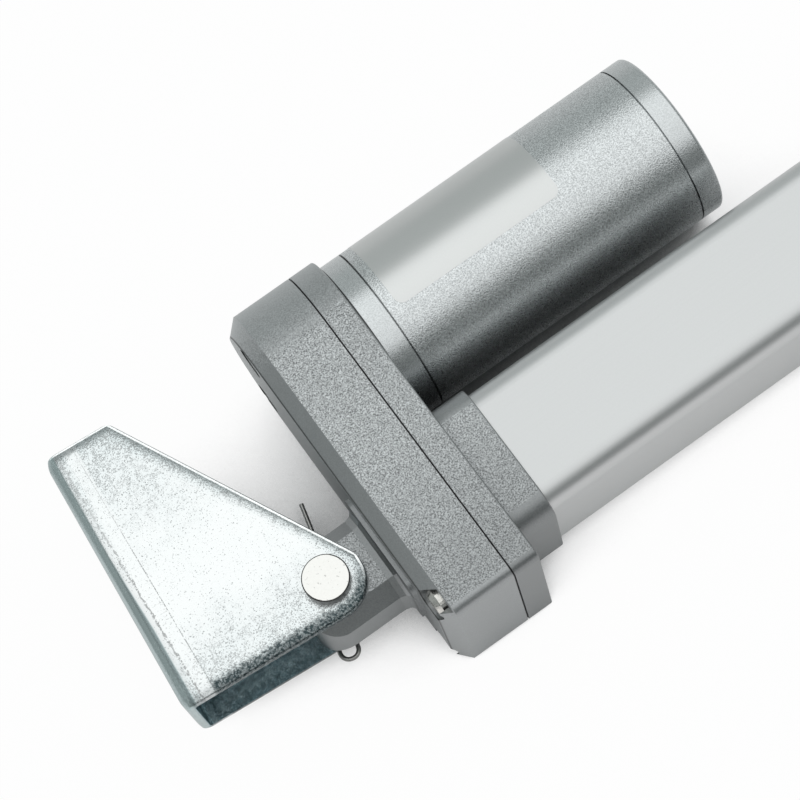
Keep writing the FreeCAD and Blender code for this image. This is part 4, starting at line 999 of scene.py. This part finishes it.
class ACTUATOR_OT_thread(bpy.types.Operator):
    """Lead screw with its thread cut"""
    bl_idname = "actuator.thread"
    bl_label = "Lead screw"

    def execute(self, context):
        settings = context.scene.actuator_thread
        steel = plain_finish("rolled screw steel", (0.46, 0.47, 0.48), 1.0, 0.28, 0.0006)
        stations = {}
        for vertex in NODES["lead_screw"].data.vertices:
            place = TO_ACTUATOR @ vertex.co
            radius = round(math.hypot(place.y, place.z), 5)
            low, high = stations.get(radius, (place.x, place.x))
            stations[radius] = (min(low, place.x), max(high, place.x))
        low, high = span("lead_screw")
        radius = (high.z - low.z) / 2
        thinnest, thickest = 0.001, radius - 0.0008
        tail, seat_radius = [size for size in sorted(stations) if thinnest < size < thickest]
        seat_start, start = stations[seat_radius]
        rings_per_crest = 8
        crests = (high.x - start) / settings.lead * settings.starts
        tree, sockets = thread_tree()
        mesh = grow("lead_screw_thread", tree, sockets, [], {
            "Lead": settings.lead,
            "Radius": radius,
            "Depth": settings.depth,
            "Start": start,
            "Length": high.x - start,
            "Seat Radius": seat_radius,
            "Seat Start": seat_start,
            "Tail Radius": tail,
            "Tail Start": low.x,
            "Starts": settings.starts,
            "Rings": int(crests * rings_per_crest) + 1,
            "Material": steel,
        })
        shaped = bmesh.new()
        shaped.from_mesh(mesh)
        bmesh.ops.recalc_face_normals(shaped, faces=shaped.faces)
        shaped.to_mesh(mesh)
        shaped.free()
        mesh.transform(ACTUATOR)
        seat(new_piece("lead_screw_thread", mesh, steel), "screw", SLOT_OF["lead_screw"], "lead_screw")
        return {"FINISHED"}


class ACTUATOR_OT_stage(bpy.types.Operator):
    """Pale floor, soft light and the camera"""
    bl_idname = "actuator.stage"
    bl_label = "Stage"

    def execute(self, context):
        scene = context.scene
        settings = scene.actuator_stage
        scene.view_settings.view_transform = "Standard"
        low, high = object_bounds()
        middle = (low + high) / 2
        make_floor(settings, middle, low.z)
        make_world(settings, scene)
        make_softbox(settings, middle, low.z)
        make_camera(settings, scene)
        return {"FINISHED"}


def shelter(tree, reach, closed, clear):
    """How open the floor is, from 0 where the object closes over it to nearly 1."""
    made = add_node(tree, "ShaderNodeAmbientOcclusion", samples=8)
    made.inputs["Distance"].default_value = reach
    return stretch(tree, made.outputs["AO"], closed, clear, 0.0, 0.97)


def make_floor(settings, middle, height):
    """Pale floor that keeps the object's shadow, with painted shade on its colour in narrow gaps."""
    half = settings.floor / 2
    square = [(middle.x + x * half, middle.y + y * half, height)
              for x, y in ((-1, -1), (1, -1), (1, 1), (-1, 1))]
    mesh = bpy.data.meshes.new("floor")
    mesh.from_pydata(square, [], [(0, 1, 2, 3)])
    material = bpy.data.materials.new("pale floor")
    material.use_nodes = True
    tree = material.node_tree
    tree.nodes.clear()
    matt = add_node(tree, "ShaderNodeBsdfDiffuse")
    glow = add_node(tree, "ShaderNodeEmission")
    glow.inputs["Strength"].default_value = 1.0
    rays = add_node(tree, "ShaderNodeLightPath")
    mirrored = most(tree, rays.outputs["Is Glossy Ray"], rays.outputs["Is Transmission Ray"])
    near = shelter(tree, 0.06, 0.22, 0.46)
    wide = shelter(tree, 0.20, 0.38, 0.98)
    deep = shelter(tree, 0.06, 0.06, 0.24)
    # Painted shade: the floor's colour darkens where the object closes over it
    gap_shade, pale = (0.20, 0.21, 0.215), (0.86, 0.86, 0.86)
    colour = mix_colours(tree, deep, gap_shade, pale)
    fade = stretch(tree, axes(tree)[2], middle.y + 0.03, middle.y + 0.09, 1.0, 0.1)
    seen = plus(tree, times(tree, rays.outputs["Is Camera Ray"], near), times(tree, mirrored, wide, fade))
    mixed = add_node(tree, "ShaderNodeMixShader")
    output = add_node(tree, "ShaderNodeOutputMaterial")
    wire(tree, (colour, matt.inputs["Color"]), (seen, mixed.inputs["Fac"]),
         (matt.outputs["BSDF"], mixed.inputs[1]), (glow.outputs["Emission"], mixed.inputs[2]),
         (mixed.outputs["Shader"], output.inputs["Surface"]))
    floor = bpy.data.objects.new("floor", mesh)
    floor.data.materials.append(material)
    bpy.context.scene.collection.objects.link(floor)
    floor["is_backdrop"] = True


def make_world(settings, scene):
    """Room light that fades from the motor's side to the tube's side."""
    world = bpy.data.worlds.new("room")
    scene.world = world
    world.use_nodes = True
    tree = world.node_tree
    light = tree.nodes["Background"]
    light.inputs["Color"].default_value = (*settings.room, 1.0)
    y = axes(tree, "Generated")[2]
    level = stretch(tree, y, -0.9, 0.9, settings.dark_side, settings.light_side)
    wire(tree, (level, light.inputs["Strength"]))


def make_softbox(settings, middle, floor):
    light = bpy.data.lights.new("softbox", "AREA")
    light.shape = "RECTANGLE"
    light.size, light.size_y = settings.softbox
    light.energy = settings.softbox_power
    lamp = bpy.data.objects.new("softbox", light)
    lamp.location = (middle.x, middle.y + settings.softbox_shift, floor + settings.softbox_height)
    bpy.context.scene.collection.objects.link(lamp)


def make_camera(settings, scene):
    lens = bpy.data.cameras.new("camera")
    lens.lens = settings.lens
    lens.sensor_width = 36.0
    lens.clip_start = 0.01
    camera = bpy.data.objects.new("camera", lens)
    camera.location = settings.camera_place
    camera.rotation_euler = Euler(settings.camera_turn)
    scene.collection.objects.link(camera)
    scene.camera = camera


class ACTUATOR_PT_looks(bpy.types.Panel):
    """Pieces of the actuator and their settings"""
    bl_label = "Linear Actuator"
    bl_space_type = "VIEW_3D"
    bl_region_type = "UI"
    bl_category = "Actuator"

    def draw(self, context):
        for group in SETTINGS:
            settings = getattr(context.scene, group)
            box = self.layout.box()
            for name in settings.__annotations__:
                box.prop(settings, name)
        for step in STEPS:
            self.layout.operator(step.bl_idname)


SETTINGS = {
    "actuator_finish": FinishSettings,
    "actuator_label": LabelSettings,
    "actuator_screws": ScrewSettings,
    "actuator_thread": ThreadSettings,
    "actuator_stage": StageSettings,
}
STEPS = (
    ACTUATOR_OT_bracket,
    ACTUATOR_OT_pivot,
    ACTUATOR_OT_housing,
    ACTUATOR_OT_screws,
    ACTUATOR_OT_motor,
    ACTUATOR_OT_label,
    ACTUATOR_OT_tube,
    ACTUATOR_OT_drive,
    ACTUATOR_OT_thread,
    ACTUATOR_OT_stage,
)
CLASSES = (*SETTINGS.values(), *STEPS, ACTUATOR_PT_looks)


def register():
    for cls in CLASSES:
        bpy.utils.register_class(cls)
    for name, group in SETTINGS.items():
        setattr(bpy.types.Scene, name, PointerProperty(type=group))


def unregister():
    for name in SETTINGS:
        delattr(bpy.types.Scene, name)
    for cls in reversed(CLASSES):
        bpy.utils.unregister_class(cls)


def main():
    register()
    bpy.ops.actuator.bracket()
    bpy.ops.actuator.pivot()
    bpy.ops.actuator.housing()
    bpy.ops.actuator.screws()
    bpy.ops.actuator.motor()
    bpy.ops.actuator.label()
    bpy.ops.actuator.tube()
    bpy.ops.actuator.drive()
    bpy.ops.actuator.thread()
    bpy.ops.actuator.stage()


if __name__ == "__main__":
    main()
